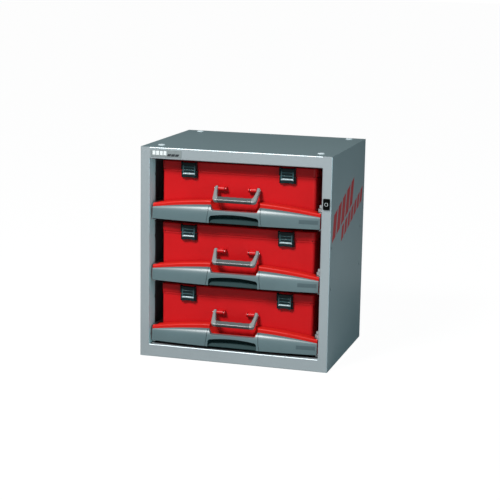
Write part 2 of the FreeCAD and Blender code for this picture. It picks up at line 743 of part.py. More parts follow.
def finger_pocket():
    """Space of the finger pocket under the bridge: arched in front, scooped in section."""
    front = BUMPER_FACE - 5
    left = V(-POCKET_HALF + POCKET_ROUND, front, POCKET_SHOULDER)
    right = V(POCKET_HALF - POCKET_ROUND, front, POCKET_SHOULDER)
    bend = POCKET_ROUND * (1 - math.sin(math.radians(45)))
    wire = Part.Wire([
        Part.makeLine(V(-POCKET_HALF, front, -1), V(-POCKET_HALF, front, POCKET_SHOULDER - POCKET_ROUND)),
        Part.Arc(V(-POCKET_HALF, front, POCKET_SHOULDER - POCKET_ROUND),
                 V(-POCKET_HALF + bend, front, POCKET_SHOULDER - bend), left).toShape(),
        Part.Arc(left, V(0, front, POCKET_RISE), right).toShape(),
        Part.Arc(right, V(POCKET_HALF - bend, front, POCKET_SHOULDER - bend),
                 V(POCKET_HALF, front, POCKET_SHOULDER - POCKET_ROUND)).toShape(),
        Part.makeLine(V(POCKET_HALF, front, POCKET_SHOULDER - POCKET_ROUND), V(POCKET_HALF, front, -1)),
        Part.makeLine(V(POCKET_HALF, front, -1), V(-POCKET_HALF, front, -1)),
    ])
    arch = Part.Face(wire).extrude(V(0, POCKET_DEPTH + 5, 0))
    deep = BUMPER_FACE + POCKET_DEPTH
    lip = BUMPER_FACE + 5
    pairs = [
        (front - 1, -2),
        (lip, -2),
        (lip, 1.5),
        (deep, 0.7 * POCKET_RISE),
        (deep, POCKET_RISE + 3),
        (front - 1, POCKET_RISE + 3),
    ]
    scoop = prism("YZ", pairs, -POCKET_HALF - 1, POCKET_HALF + 1, [0, 0, 0, 9, 0, 0])
    return arch.common(scoop)


def grip():
    """Centre grip: bridge over the finger pocket, with the pocket's wall behind it."""
    outside = seam_side(-SEAM_GAP / 2)
    middle = whole_bumper().cut([outside, mirror_x(outside)])
    back = pocket_back()
    pairs = [
        (FRONT_PLANE - 1, 0),
        (FRONT_PLANE - 1, bucket_top()),
        (back, bucket_top()),
        (back, 0.55 * POCKET_RISE),
        (FRONT_PLANE + 1, 0),
    ]
    half = POCKET_HALF + POCKET_WALL
    bucket = prism("YZ", pairs, -half, half, [0, 0, 1, 6, 0])
    notch = Part.Face(notch_outline(BUMPER_FACE - 5, GRIP_NOTCH_BOTTOM, GRIP_BRIDGE, 0))
    notch = notch.extrude(V(0, BUMPER_BULGE_MID + 5, 0))
    return merged([middle, bucket]).cut([notch, finger_pocket()])


# ---------------------------------------------------------------- carrying case
def rounded_block(half, y0, y1, z0, z1, corner):
    """Box with rounded upright corners."""
    return prism("XY", rectangle(-half, half, y0, y1), z0, z1, corner)


def lug(x0, x1, y, z, radius, root_y):
    """Rounded lug round an axis along X, standing on a wall at root_y."""
    nose = rod(radius, V(x0, y, z), V(x1, y, z))
    y0, y1 = sorted((y, root_y))
    return merged([nose, block(x0, x1, y0, y1, z - radius, z + radius)])


def case_shell():
    """Lower part of the case: open on top, with a bead below its rim and lugs for the handle."""
    half = CASE_WIDTH / 2
    back = CASE_SETBACK + CASE_DEPTH
    top = SEAM_RISE - FIT
    outer = rounded_block(half, CASE_SETBACK, back, CASE_FLOOR, top, CASE_CORNER)
    foot = [e for e in outer.Edges if e.BoundBox.ZMax < CASE_FLOOR + 0.1]
    outer = outer.makeFillet(CASE_FOOT_ROUND, foot)
    bead_top = top - BEAD_DROP
    bead = rounded_block(half + BEAD_PROUD, CASE_SETBACK - BEAD_PROUD, back + BEAD_PROUD,
                         bead_top - BEAD_HEIGHT, bead_top, CASE_CORNER + BEAD_PROUD)
    reach = LATCH_WIDTH / 2 + LATCH_CHEEK_GAP + LATCH_CHEEK + FIT
    gap = block(LATCH_OFFSET - reach, LATCH_OFFSET + reach, CASE_SETBACK - BEAD_PROUD - 1,
                CASE_SETBACK, bead_top - BEAD_HEIGHT - 1, bead_top + 1)
    outer = merged([outer, bead.cut([gap, mirror_x(gap)])])
    inner = rounded_block(half - CASE_WALL, CASE_SETBACK + CASE_WALL, back - CASE_WALL,
                          CASE_FLOOR + CASE_WALL, top + 1, CASE_CORNER - CASE_WALL)
    parts = [outer.cut(inner)]
    root = CASE_SETBACK + CASE_WALL / 2
    lug_start = HANDLE_HALF - HANDLE_ARM - 0.5
    for x0, x1 in ((lug_start - HANDLE_LUG_LENGTH, lug_start),
                   (lug_start - HANDLE_LUG_LENGTH - HANDLE_NIB_GAP - HANDLE_NIB_LENGTH,
                    lug_start - HANDLE_LUG_LENGTH - HANDLE_NIB_GAP)):
        ear = lug(x0, x1, HANDLE_PIVOT_Y, HANDLE_PIVOT_RISE, HANDLE_LUG_RADIUS, root)
        parts += both_sides(ear)
    back_root = back - CASE_WALL / 2
    parts += both_sides(hinge_knuckle(1, back_root))
    shell = merged(parts)
    pin = V(0, HANDLE_PIVOT_Y, HANDLE_PIVOT_RISE)
    bore = rod(HANDLE_PIN_RADIUS + SHAFT_CLEAR, pin - V(HANDLE_HALF, 0, 0), pin + V(HANDLE_HALF, 0, 0))
    return shell.cut([bore] + hinge_bores())


def latch_bottom():
    """Height of the lower end of the latch levers."""
    return LATCH_PIVOT_Z - LATCH_LENGTH


def cheeks(x, low, high, front, root):
    """The two ribs that stand either side of a latch, with rounded front corners."""
    reach = LATCH_WIDTH / 2 + LATCH_CHEEK_GAP
    pairs = rectangle(front, root, low, high)
    ribs = []
    for side in (-1, 1):
        x0, x1 = sorted((x + side * reach, x + side * (reach + LATCH_CHEEK)))
        ribs.append(prism("YZ", pairs, x0, x1, [2, 0, 0, 2]))
    return ribs


def latch_frame(x):
    """Dark bracket on the lid that carries a latch's pin between its cheeks."""
    low = SEAM_RISE + 0.5
    reach = LATCH_WIDTH / 2 + LATCH_CHEEK_GAP + LATCH_CHEEK
    base = block(x - reach, x + reach, LID_FACE - LATCH_BASE, LID_FACE, low, LID_TOP - LID_ROUND)
    ribs = cheeks(x, low, LID_TOP - 0.5, LATCH_PIVOT_Y - LATCH_THICK, LID_FACE)
    bore = rod(LATCH_PIN_RADIUS + SHAFT_CLEAR, V(x - reach - 1, LATCH_PIVOT_Y, LATCH_PIVOT_Z),
               V(x + reach + 1, LATCH_PIVOT_Y, LATCH_PIVOT_Z))
    return merged([base] + ribs).cut(bore)


def latch_catch(x):
    """Dark catch plate on the shell, with the keeper that a latch's hook holds."""
    low = latch_bottom()
    high = SEAM_RISE - 2
    reach = LATCH_WIDTH / 2 + LATCH_CHEEK_GAP + LATCH_CHEEK
    face = CASE_SETBACK - LATCH_BASE
    base = block(x - reach, x + reach, face, CASE_SETBACK, low, high)
    ribs = cheeks(x, low, high, LATCH_PIVOT_Y, CASE_SETBACK)
    keeper = block(x - LATCH_WIDTH / 2 + 4, x + LATCH_WIDTH / 2 - 4, face - KEEPER_DEPTH, face,
                   low + KEEPER_RISE, low + KEEPER_RISE + KEEPER_HEIGHT)
    return merged([base, keeper] + ribs)


def hinge_axis():
    """Depth and height of the rear hinge pins."""
    return CASE_SETBACK + CASE_DEPTH + LID_OVERHANG + HINGE_KNUCKLE_RADIUS + HINGE_GAP, SEAM_RISE


def hinge_knuckle(index, root):
    """One knuckle of the right-hand rear hinge."""
    y, z = hinge_axis()
    length = HINGE_LENGTH / HINGE_KNUCKLES
    x0 = HINGE_OFFSET - HINGE_LENGTH / 2 + index * length
    x1 = x0 + length - 0.5
    barrel = rod(HINGE_KNUCKLE_RADIUS, V(x0, y, z), V(x1, y, z))
    if index % 2:
        arm = block(x0, x1, root, y, z - HINGE_KNUCKLE_RADIUS, z - HINGE_GAP)
    else:
        arm = block(x0, x1, root, y, z + HINGE_GAP, z + HINGE_KNUCKLE_RADIUS)
    return merged([barrel, arm])


def hinge_bores():
    """Bores of the rear hinge pins."""
    y, z = hinge_axis()
    reach = HINGE_LENGTH / 2 + 1
    radius = HINGE_PIN_RADIUS + SHAFT_CLEAR
    return [rod(radius, V(side * HINGE_OFFSET - reach, y, z), V(side * HINGE_OFFSET + reach, y, z))
            for side in (-1, 1)]


def case_lid():
    """Lid with a rim that overhangs the shell, a stepped top and stacking nibs."""
    half = CASE_WIDTH / 2 + LID_OVERHANG
    back = CASE_SETBACK + CASE_DEPTH + LID_OVERHANG
    corner = CASE_CORNER + LID_OVERHANG
    outer = rounded_block(half, LID_FACE, back, SEAM_RISE, LID_TOP, corner)
    rim = [e for e in outer.Edges if e.BoundBox.ZMin > LID_TOP - 0.1]
    outer = outer.makeFillet(LID_ROUND, rim)
    wall = CASE_WALL + LID_OVERHANG
    inner = rounded_block(half - wall, LID_FACE + wall, back - wall, SEAM_RISE - 1,
                          LID_TOP - 2 * CASE_WALL, CASE_CORNER - CASE_WALL)
    step = rounded_block(half - LID_RIM, LID_FACE + LID_RIM, back - LID_RIM,
                         LID_TOP - CASE_WALL, LID_TOP + 1, CASE_CORNER)
    parts = [outer.cut([inner, step])]
    inset = (LID_ROUND + LID_RIM) / 2
    for x in (-NIB_OFFSET, NIB_OFFSET):
        for y in (LID_FACE + inset, back - inset):
            parts.append(Part.makeCone(NIB_RADIUS, NIB_RADIUS - NIB_HEIGHT, NIB_HEIGHT,
                                       V(x, y, LID_TOP)))
    back_root = back - CASE_WALL / 2
    for index in (0, 2):
        parts += both_sides(hinge_knuckle(index, back_root))
    return merged(parts).cut(hinge_bores())


def latch_lever():
    """Right-hand latch lever: raised side rails and cross ribs, finger pull, arched foot, hook."""
    x0 = LATCH_OFFSET - LATCH_WIDTH / 2
    x1 = LATCH_OFFSET + LATCH_WIDTH / 2
    low = latch_bottom()
    high = LATCH_PIVOT_Z
    front = LATCH_PIVOT_Y - LATCH_THICK / 2
    back = LATCH_PIVOT_Y + LATCH_THICK / 2
    plate = prism("XZ", rectangle(x0, x1, low, high), front, back, [2.5, 2.5, 0, 0])
    barrel = rod(LATCH_THICK / 2, V(x0, LATCH_PIVOT_Y, high), V(x1, LATCH_PIVOT_Y, high))
    parts = [plate, barrel]
    rail_low = low + 7
    rail_high = high - 3
    for a in (x0, x1 - LATCH_RAIL):
        parts.append(prism("YZ", [(front + 1, rail_low), (front - LATCH_RIDGE, rail_low + 1),
                                  (front - LATCH_RIDGE, rail_high - 2), (front + 1, rail_high)],
                           a, a + LATCH_RAIL, [0, 0.6, 0.6, 0]))
    for z, proud, half in ((high - 9, LATCH_RIDGE, 1.3), (high - 17.5, LATCH_RIDGE, 1.0),
                           (low + 10.5, LATCH_PULL, 2.0)):
        parts.append(prism("YZ", [(front + 1, z - half - 1), (front - proud, z - half / 2),
                                  (front - proud, z + half / 2), (front + 1, z + half + 1)],
                           x0 + 1, x1 - 1, [0, 0.5, 0.5, 0]))
    lever = merged(parts)
    span = LATCH_WIDTH / 2 - 3.5
    radius = (span * span + LATCH_ARCH ** 2) / (2 * LATCH_ARCH)
    foot = rod(radius, V(LATCH_OFFSET, front - 10, low + LATCH_ARCH - radius),
               V(LATCH_OFFSET, back + 10, low + LATCH_ARCH - radius))
    bore = rod(LATCH_PIN_RADIUS + SHAFT_CLEAR, V(x0 - 1, LATCH_PIVOT_Y, high),
               V(x1 + 1, LATCH_PIVOT_Y, high))
    lever = lever.cut([foot, bore])
    hook_top = low + KEEPER_RISE - FIT
    tip = CASE_SETBACK - LATCH_BASE - 2 * FIT
    hook = block(x0 + 5, x1 - 5, back - 1, tip, hook_top - KEEPER_HOOK, hook_top)
    return merged([lever, hook])


def handle():
    """Carrying handle: tapered arms, rounded grip and shallow finger waves."""
    bottom = -HANDLE_REACH - HANDLE_GRIP / 2
    outer = [
        (-HANDLE_HALF, 5.5),
        (-HANDLE_HALF + HANDLE_TAPER, bottom),
        (HANDLE_HALF - HANDLE_TAPER, bottom),
        (HANDLE_HALF, 5.5),
    ]
    body = prism("XZ", outer, -HANDLE_DEPTH / 2, HANDLE_DEPTH / 2, [4.5, 9, 9, 4.5])
    top = -HANDLE_REACH + HANDLE_GRIP / 2
    inside = HANDLE_HALF - HANDLE_ARM
    inside_low = inside - HANDLE_TAPER - 1.5
    neck = -HANDLE_LUG_RADIUS - 1
    opening = [
        (-inside, 10),
        (-inside, neck),
        (-inside_low, top),
        (inside_low, top),
        (inside, neck),
        (inside, 10),
    ]
    body = body.cut(prism("XZ", opening, -HANDLE_DEPTH, HANDLE_DEPTH, [0, 4, 6, 6, 4, 0]))
    long_edges = [e for e in body.Edges
                  if e.BoundBox.YLength < 0.01 and e.BoundBox.ZMax < 5.4]
    body = body.makeFillet(HANDLE_ROUND, long_edges)
    width = 2 * (inside_low - 8) / HANDLE_WAVES
    radius = (width * width / 4 + HANDLE_WAVE_RISE ** 2) / (2 * HANDLE_WAVE_RISE)
    cuts = []
    for i in range(HANDLE_WAVES):
        x = (i + 0.5 - HANDLE_WAVES / 2) * width
        centre = top - HANDLE_WAVE_RISE + radius
        wave = rod(radius, V(x, -HANDLE_DEPTH, centre), V(x, HANDLE_DEPTH, centre))
        cuts.append(wave.common(block(x - width / 2, x + width / 2, -HANDLE_DEPTH, HANDLE_DEPTH,
                                      top - HANDLE_GRIP / 2, top + 1)))
    side = HANDLE_DEPTH / 2 - HANDLE_GROOVE_DEPTH
    core = prism("YZ", rectangle(-side, side, bottom + HANDLE_GROOVE_DEPTH, top - HANDLE_GROOVE_DEPTH),
                 -HANDLE_HALF, HANDLE_HALF, HANDLE_ROUND - HANDLE_GROOVE_DEPTH)
    for x in (-HANDLE_SLEEVE, HANDLE_SLEEVE):
        slab = block(x - HANDLE_GROOVE / 2, x + HANDLE_GROOVE / 2, -HANDLE_DEPTH, HANDLE_DEPTH,
                     bottom - 1, top + 1)
        cuts.append(slab.cut(core))
    cuts.append(rod(HANDLE_PIN_RADIUS + SHAFT_CLEAR, V(-HANDLE_HALF - 1, 0, 0),
                    V(HANDLE_HALF + 1, 0, 0)))
    body = body.cut(cuts)
    body.rotate(V(0, 0, 0), V(1, 0, 0), -HANDLE_ANGLE)
    body.translate(V(0, HANDLE_PIVOT_Y, HANDLE_PIVOT_RISE))
    return body


def case_pins():
    """Pins of the handle, the latches and the rear hinge, as separate solids."""
    pins = []
    pin_end = HANDLE_HALF - HANDLE_ARM - 0.5 - HANDLE_LUG_LENGTH - HANDLE_NIB_GAP - HANDLE_NIB_LENGTH
    hinge_y, hinge_z = hinge_axis()
    latch_reach = LATCH_WIDTH / 2 + LATCH_CHEEK_GAP + LATCH_CHEEK
    for side in (-1, 1):
        pins.append(rod(HANDLE_PIN_RADIUS, V(side * pin_end, HANDLE_PIVOT_Y, HANDLE_PIVOT_RISE),
                        V(side * (HANDLE_HALF + 0.3), HANDLE_PIVOT_Y, HANDLE_PIVOT_RISE)))
        x = side * LATCH_OFFSET
        pins.append(rod(LATCH_PIN_RADIUS, V(x - latch_reach, LATCH_PIVOT_Y, LATCH_PIVOT_Z),
                        V(x + latch_reach, LATCH_PIVOT_Y, LATCH_PIVOT_Z)))
        x = side * HINGE_OFFSET
        pins.append(rod(HINGE_PIN_RADIUS, V(x - HINGE_LENGTH / 2, hinge_y, hinge_z),
                        V(x + HINGE_LENGTH / 2, hinge_y, hinge_z)))
    return pins


# ---------------------------------------------------------------- lock
def lock_housing():
    """Escutcheon and barrel of the lock."""
    plate = prism("XZ", rectangle(LOCK_X - LOCK_PLATE_WIDTH / 2, LOCK_X + LOCK_PLATE_WIDTH / 2,
                                  LOCK_Z - LOCK_PLATE_HEIGHT / 2, LOCK_Z + LOCK_PLATE_HEIGHT / 2),
                  -LOCK_PLATE_THICK, 0, 2.0)
    barrel = rod(LOCK_BARREL_RADIUS, V(LOCK_X, 0, LOCK_Z), V(LOCK_X, LOCK_BARREL_LENGTH, LOCK_Z))
    bore = rod(LOCK_PLUG_RADIUS + SHAFT_CLEAR, V(LOCK_X, -LOCK_PLATE_THICK - 1, LOCK_Z),
               V(LOCK_X, LOCK_BARREL_LENGTH + 1, LOCK_Z))
    return merged([plate, barrel]).cut(bore)


def lock_cylinder():
    """Turning plug of the lock, with its keyway."""
    front = -LOCK_PLATE_THICK - LOCK_PLUG_PROUD
    plug = rod(LOCK_PLUG_RADIUS, V(LOCK_X, front, LOCK_Z),
               V(LOCK_X, LOCK_BARREL_LENGTH + FIT, LOCK_Z))
    keyway = block(LOCK_X - LOCK_KEYWAY / 2, LOCK_X + LOCK_KEYWAY / 2, front - 1, front + 8,
                   LOCK_Z - 3.5, LOCK_Z + 3.5)
    return plug.cut(keyway)


def cam_pin_place():
    """Place of the cam's pin when the lock is open."""
    reach = CAM_THROW * math.sin(math.radians(45))
    return LOCK_X - reach, LOCK_Z + reach


def lock_cam():
    """Cam on the back of the plug, with the pin that moves the locking bar."""
    y0 = LOCK_BARREL_LENGTH + FIT
    y1 = y0 + CAM_THICK
    x, z = cam_pin_place()
    hub = rod(4.5, V(LOCK_X, y0, LOCK_Z), V(LOCK_X, y1, LOCK_Z))
    end = rod(CAM_PIN_RADIUS + 1.2, V(x, y0, z), V(x, y1, z))
    pin = rod(CAM_PIN_RADIUS, V(x, y0, z), V(x, BAR_SETBACK + BAR_THICK + 0.5, z))
    return merged([hub, end, pin])


def locking_bar():
    """Flat bar behind the stile, with one tongue for each drawer."""
    low = level_base(0) + TONGUE_LOW - BAR_END_ROOM
    high = level_base(LEVELS - 1) + TONGUE_LOW + TONGUE_HEIGHT + BAR_END_ROOM
    y0 = BAR_SETBACK
    y1 = BAR_SETBACK + BAR_THICK
    parts = [prism("XZ", rectangle(BAR_LEFT, BAR_RIGHT, low, high), y0, y1, 2.0)]
    tip = HALF_OPENING - TONGUE_WIDTH
    for level in range(LEVELS):
        z = level_base(level) + TONGUE_LOW
        parts.append(prism("XZ", rectangle(tip, BAR_LEFT + 3, z, z + TONGUE_HEIGHT), y0, y1,
                           [1.5, 0, 0, 1.5]))
    x, z = cam_pin_place()
    slack = 0.5
    nearest = LOCK_X - CAM_THROW - CAM_PIN_RADIUS - slack
    slot = prism("XZ", rectangle(nearest, x + CAM_PIN_RADIUS + slack,
                                 z - CAM_PIN_RADIUS - slack, z + CAM_PIN_RADIUS + slack),
                 y0 - 1, y1 + 1, CAM_PIN_RADIUS)
    return merged(parts).cut(slot)


def tongue_window(level):
    """Window in the stile's return for one tongue."""
    z = level_base(level) + TONGUE_LOW
    return block(HALF_OPENING - 1, HALF_OPENING + SHEET + 1, BAR_SETBACK - 1,
                 BAR_SETBACK + BAR_THICK + 1, z - BAR_TRAVEL - 1.5, z + TONGUE_HEIGHT + 1.5)


def bar_guide(z):
    """Guide block that holds the locking bar against the stile's return."""
    left = HALF_OPENING + SHEET
    outer = block(left, BAR_RIGHT + FIT + GUIDE_WALL, BAR_SETBACK - FIT - GUIDE_WALL,
                  BAR_SETBACK + BAR_THICK + FIT + GUIDE_WALL, z, z + GUIDE_HEIGHT)
    room = block(left - 1, BAR_RIGHT + FIT, BAR_SETBACK - FIT, BAR_SETBACK + BAR_THICK + FIT,
                 z - 1, z + GUIDE_HEIGHT + 1)
    return outer.cut(room)


# ---------------------------------------------------------------- whole cabinet
def cabinet_nodes():
    """Fixed pieces of the cabinet and the lock."""
    plain_side = side_panel()
    lock_hole = rod(LOCK_BARREL_RADIUS + SHAFT_CLEAR, V(LOCK_X, -1, LOCK_Z), V(LOCK_X, SHEET + 1, LOCK_Z))
    windows = [tongue_window(level) for level in range(LEVELS)]
    screw_holes = []
    outers = []
    screws = []
    for level in range(LEVELS):
        rise = V(0, 0, level_base(level))
        outer = runner_outer()
        outer.translate(rise)
        outers += both_sides(outer)
        for y in screw_places():
            z = level_base(level) + RUNNER_CENTRE
            screws += both_sides(runner_screw(y, z))
            screw_holes.append(rod(SCREW_RADIUS + SHAFT_CLEAR, V(HALF_OPENING - 1, y, z),
                                   V(HALF_OPENING + SHEET + 1, y, z)))
    side = plain_side.cut(screw_holes)
    upright = rear_upright().cut(screw_holes)
    guides = [bar_guide(level_base(level) + TONGUE_LOW - BAR_TRAVEL - BAR_END_ROOM / 2 - GUIDE_HEIGHT / 2)
              for level in range(1, LEVELS)]
    return {
        "side_panel_right": [side.cut([lock_hole] + windows)],
        "side_panel_left": [mirror_x(side)],
        "top_panel": [top_panel()],
        "bottom_panel": [cap_panel(BOTTOM_RAIL, BASE_HOLE_RADIUS)],
        "back_panel": [back_panel()],
        "rear_uprights": both_sides(upright),
        "top_plugs": [top_plug(x, y) for x, y in stack_hole_places()],
        "label_plate": [label_plate()],
        "runner_outer_members": outers,
        "runner_screws": screws,
        "lock_housing": [lock_housing()],
        "lock_cylinder": [lock_cylinder()],
        "lock_cam": [lock_cam()],
        "locking_bar": [locking_bar()],
        "locking_bar_guides": guides,
    }


def drawer_nodes():
    """Pieces of one drawer and its case, in the drawer's own level."""
    outer_strips = cage_strips(RUNNER_HEIGHT / 2)
    inner_strips = cage_strips(middle_half_height())
    wing = bumper_wing()
    lever = latch_lever()
    return {
        "tray_pan": [tray_pan()],
        "tray_front": [tray_front()],
        "bumper_right": [wing],
        "bumper_left": [mirror_x(wing)],
        "grip": [grip()],
        "runner_middle": both_sides(runner_middle()),
        "runner_inner": both_sides(runner_inner()),
        "ball_cages_outer": outer_strips + [mirror_x(s) for s in outer_strips],
        "ball_cages_inner": inner_strips + [mirror_x(s) for s in inner_strips],
        "case_shell": [case_shell()] + both_sides(latch_catch(LATCH_OFFSET)),
        "case_lid": [case_lid()] + both_sides(latch_frame(LATCH_OFFSET)),
        "case_pins": case_pins(),
        "latch_right": [lever],
        "latch_left": [mirror_x(lever)],
        "handle": [handle()],
    }


def export(name, solids, lift=0.0):
    """Write one node, moved so that the origin is the centre of the base."""
    shape = Part.makeCompound(solids) if len(solids) > 1 else solids[0].copy()
    shape.translate(V(0, -DEPTH / 2, lift))
    shape.exportStep("parts/" + name + ".step")


os.makedirs("parts", exist_ok=True)
for node, node_solids in cabinet_nodes().items():
    export(node, node_solids)
for node, node_solids in drawer_nodes().items():
    for number in range(LEVELS):
        export(node + "_" + str(number + 1), node_solids, level_base(number))
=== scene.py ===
import logging
import math
from dataclasses import dataclass, field
from enum import Enum
from typing import Callable, Sequence

import bmesh
import bpy
from mathutils import Matrix, Vector
from mathutils.bvhtree import BVHTree


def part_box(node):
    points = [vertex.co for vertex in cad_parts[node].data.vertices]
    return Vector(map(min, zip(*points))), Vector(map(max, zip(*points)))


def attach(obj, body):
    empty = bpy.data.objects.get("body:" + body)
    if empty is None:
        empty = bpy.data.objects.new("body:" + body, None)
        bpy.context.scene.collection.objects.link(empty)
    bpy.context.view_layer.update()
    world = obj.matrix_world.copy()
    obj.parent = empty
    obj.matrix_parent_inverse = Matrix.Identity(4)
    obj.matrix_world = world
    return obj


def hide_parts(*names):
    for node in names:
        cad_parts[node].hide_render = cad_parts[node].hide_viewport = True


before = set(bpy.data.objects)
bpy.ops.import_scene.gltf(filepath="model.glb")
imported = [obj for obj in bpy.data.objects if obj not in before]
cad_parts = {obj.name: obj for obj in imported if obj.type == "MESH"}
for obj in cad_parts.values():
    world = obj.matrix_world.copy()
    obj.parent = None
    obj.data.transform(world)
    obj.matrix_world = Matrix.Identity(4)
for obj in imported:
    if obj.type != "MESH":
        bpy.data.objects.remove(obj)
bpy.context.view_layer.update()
LOG = logging.getLogger("racking_cabinet")
MM = 0.001
# Depth of the folded cabinet, and how near counts as the same plane, in metres.
DEPTH = 0.390
NEAR = 5e-5
# Three numbers: a colour, a place or a scale.
Triple = tuple[float, float, float]
BMesh = bmesh.types.BMesh
Material = bpy.types.Material
Socket = bpy.types.NodeSocket


def front(y_mm: float) -> float:
    """Depth in the row frame of a place given in millimetres behind the front frame."""
    return y_mm * MM - DEPTH / 2


def spot(x_mm: float, y_mm: float, z_mm: float) -> Vector:
    """Place in the row frame of a point in millimetres, with its depth behind the front frame."""
    return Vector((x_mm * MM, front(y_mm), z_mm * MM))


def behind(place: Vector) -> float:
    """Millimetres by which a place lies behind the front frame."""
    return (place.y - front(0.0)) / MM


# ---- shader node groups
class Effect(Enum):
    """Surface effects that several finishes share."""

    GRAIN = "moulded_grain"
    DRIFT = "tone_drift"
    SCUFF = "handling_scuffs"
    SPANGLE = "zinc_spangle"


class NodeSheet:
    """A node tree that is being filled, with short calls to add and wire its nodes."""

    def __init__(self, tree: bpy.types.NodeTree) -> None:
        """Keep the tree to fill."""
        self.tree = tree

    def add(self, kind: str, **values: object) -> bpy.types.Node:
        """Add a node and set its properties and input values.

        Args:
            kind: the node's type name, without the ShaderNode prefix.
            **values: properties of the node, or inputs when no property has that name.

        Returns:
            The new node.
        """
        node = self.tree.nodes.new("ShaderNode" + kind)
        for name, value in values.items():
            if hasattr(node, name):
                setattr(node, name, value)
            else:
                node.inputs[name.replace("_", " ")].default_value = value
        return node

    def wire(self, source: Socket, target: Socket) -> None:
        """Join an output to an input."""
        self.tree.links.new(source, target)

    def feed(self, value: object, target: Socket) -> None:
        """Join an output to an input, or set the input to a value.

        Args:
            value: a socket, or what the input is set to.
            target: the input.
        """
        if isinstance(value, Socket):
            self.wire(value, target)
        else:
            target.default_value = value

    def maths(self, operation: str, first: object, second: object) -> Socket:
        """Add a Math node.

        Args:
            operation: the operation's name.
            first: a socket or a number.
            second: a socket or a number.

        Returns:
            The node's output socket.
        """
        node = self.add("Math", operation=operation)
        for index, value in enumerate((first, second)):
            self.feed(value, node.inputs[index])
        return node.outputs[0]

    def span(self, value: Socket, low: float, high: float,
             to_low: float, to_high: float) -> Socket:
        """Map a range of values onto another, held at both ends.

        Args:
            value: the socket to map.
            low: the value that becomes to_low.
            high: the value that becomes to_high.
            to_low: the lower result.
            to_high: the upper result.

        Returns:
            The mapped socket.
        """
        node = self.add("MapRange", clamp=True)
        self.wire(value, node.inputs[0])
        for index, number in enumerate((low, high, to_low, to_high), start=1):
            node.inputs[index].default_value = number
        return node.outputs[0]

    def blend(self, factor: Socket, first: object, second: object) -> Socket:
        """Mix two colours.

        Args:
            factor: how much of the second colour shows.
            first: a socket or a colour.
            second: a socket or a colour.

        Returns:
            The mixed colour's socket.
        """
        node = self.add("Mix", data_type="RGBA")
        self.wire(factor, node.inputs[0])
        for index, value in ((6, first), (7, second)):
            self.feed(value if isinstance(value, Socket) else (*value, 1.0), node.inputs[index])
        return node.outputs[2]

    def mix_shaders(self, factor: Socket, first: Socket, second: Socket, target: Socket) -> None:
        """Mix two shaders into one input.

        Args:
            factor: how much of the second shader shows.
            first: the first shader's output.
            second: the second shader's output.
            target: the input that takes the mix.
        """
        mix = self.add("MixShader")
        for index, source in enumerate((factor, first, second)):
            self.wire(source, mix.inputs[index])
        self.wire(mix.outputs[0], target)


@dataclass
class EffectBody:
    """The inside of an effect's group while it is being filled."""

    sheet: NodeSheet
    given: bpy.types.NodeOutputs
    result: bpy.types.NodeInputs

    def take(self, name: str, *nodes: bpy.types.Node) -> None:
        """Feed one of the group's inputs to the inputs of that name on some nodes."""
        for node in nodes:
            self.sheet.wire(self.given[name], node.inputs[name])

    def grain(self) -> None:
        """Fine spark-eroded grain of a mould, as a height."""
        sheet = self.sheet
        cells = sheet.add("TexVoronoi", feature="SMOOTH_F1", Smoothness=0.6)
        cloud = sheet.add("TexNoise", Detail=3.0, Roughness=0.6)
        self.take("Vector", cells, cloud)
        self.take("Scale", cells)
        sheet.wire(sheet.maths("MULTIPLY", self.given["Scale"], 1.7), cloud.inputs["Scale"])
        both = sheet.maths("ADD", cells.outputs["Distance"], cloud.outputs["Fac"])
        sheet.wire(sheet.maths("MULTIPLY", both, self.given["Depth"]), self.result["Height"])

    def drift(self) -> None:
        """Slow lighter and darker drift of a colour over a surface."""
        sheet = self.sheet
        cloud = sheet.add("TexNoise", Detail=4.0, Roughness=0.55)
        self.take("Vector", cloud)
        self.take("Scale", cloud)
        swing = sheet.span(cloud.outputs["Fac"], 0.3, 0.7, -0.5, 0.5)
        value = sheet.add("HueSaturation")
        sheet.wire(self.given["Colour"], value.inputs["Color"])
        change = sheet.maths("MULTIPLY", swing, self.given["Amount"])
        sheet.wire(sheet.maths("ADD", 1.0, change), value.inputs["Value"])
        sheet.wire(value.outputs["Color"], self.result["Colour"])

    def scuff(self) -> None:
        """Faint marks of handling: long thin streaks, thinned out by patches."""
        sheet = self.sheet
        stretch = sheet.add("Mapping")
        stretch.inputs["Scale"].default_value = (1.0, 1.0, 7.0)
        stretch.inputs["Rotation"].default_value = (0.2, 0.5, 0.35)
        streak = sheet.add("TexNoise", Detail=5.0, Roughness=0.75)
        sheet.wire(stretch.outputs["Vector"], streak.inputs["Vector"])
        self.take("Scale", streak)
        patch = sheet.add("TexNoise", Scale=14.0, Detail=2.0)
        self.take("Vector", stretch, patch)
        lines = sheet.span(streak.outputs["Fac"], 0.56, 0.72, 0.0, 1.0)
        where = sheet.span(patch.outputs["Fac"], 0.45, 0.65, 0.0, 1.0)
        both = sheet.maths("MULTIPLY", lines, where)
        sheet.wire(sheet.maths("MULTIPLY", both, self.given["Amount"]), self.result["Mask"])

    def spangle(self) -> None:
        """Crystal patches of zinc plating, as a tone and a finer mask."""
        sheet = self.sheet
        cells = sheet.add("TexVoronoi", feature="F1")
        cloud = sheet.add("TexNoise", Detail=4.0)
        self.take("Vector", cells, cloud)
        self.take("Scale", cells)
        sheet.wire(sheet.maths("MULTIPLY", self.given["Scale"], 3.0), cloud.inputs["Scale"])
        split = sheet.add("SeparateColor")
        sheet.wire(cells.outputs["Color"], split.inputs[0])
        sheet.wire(split.outputs[0], self.result["Tone"])
        sheet.wire(cloud.outputs["Fac"], self.result["Mask"])


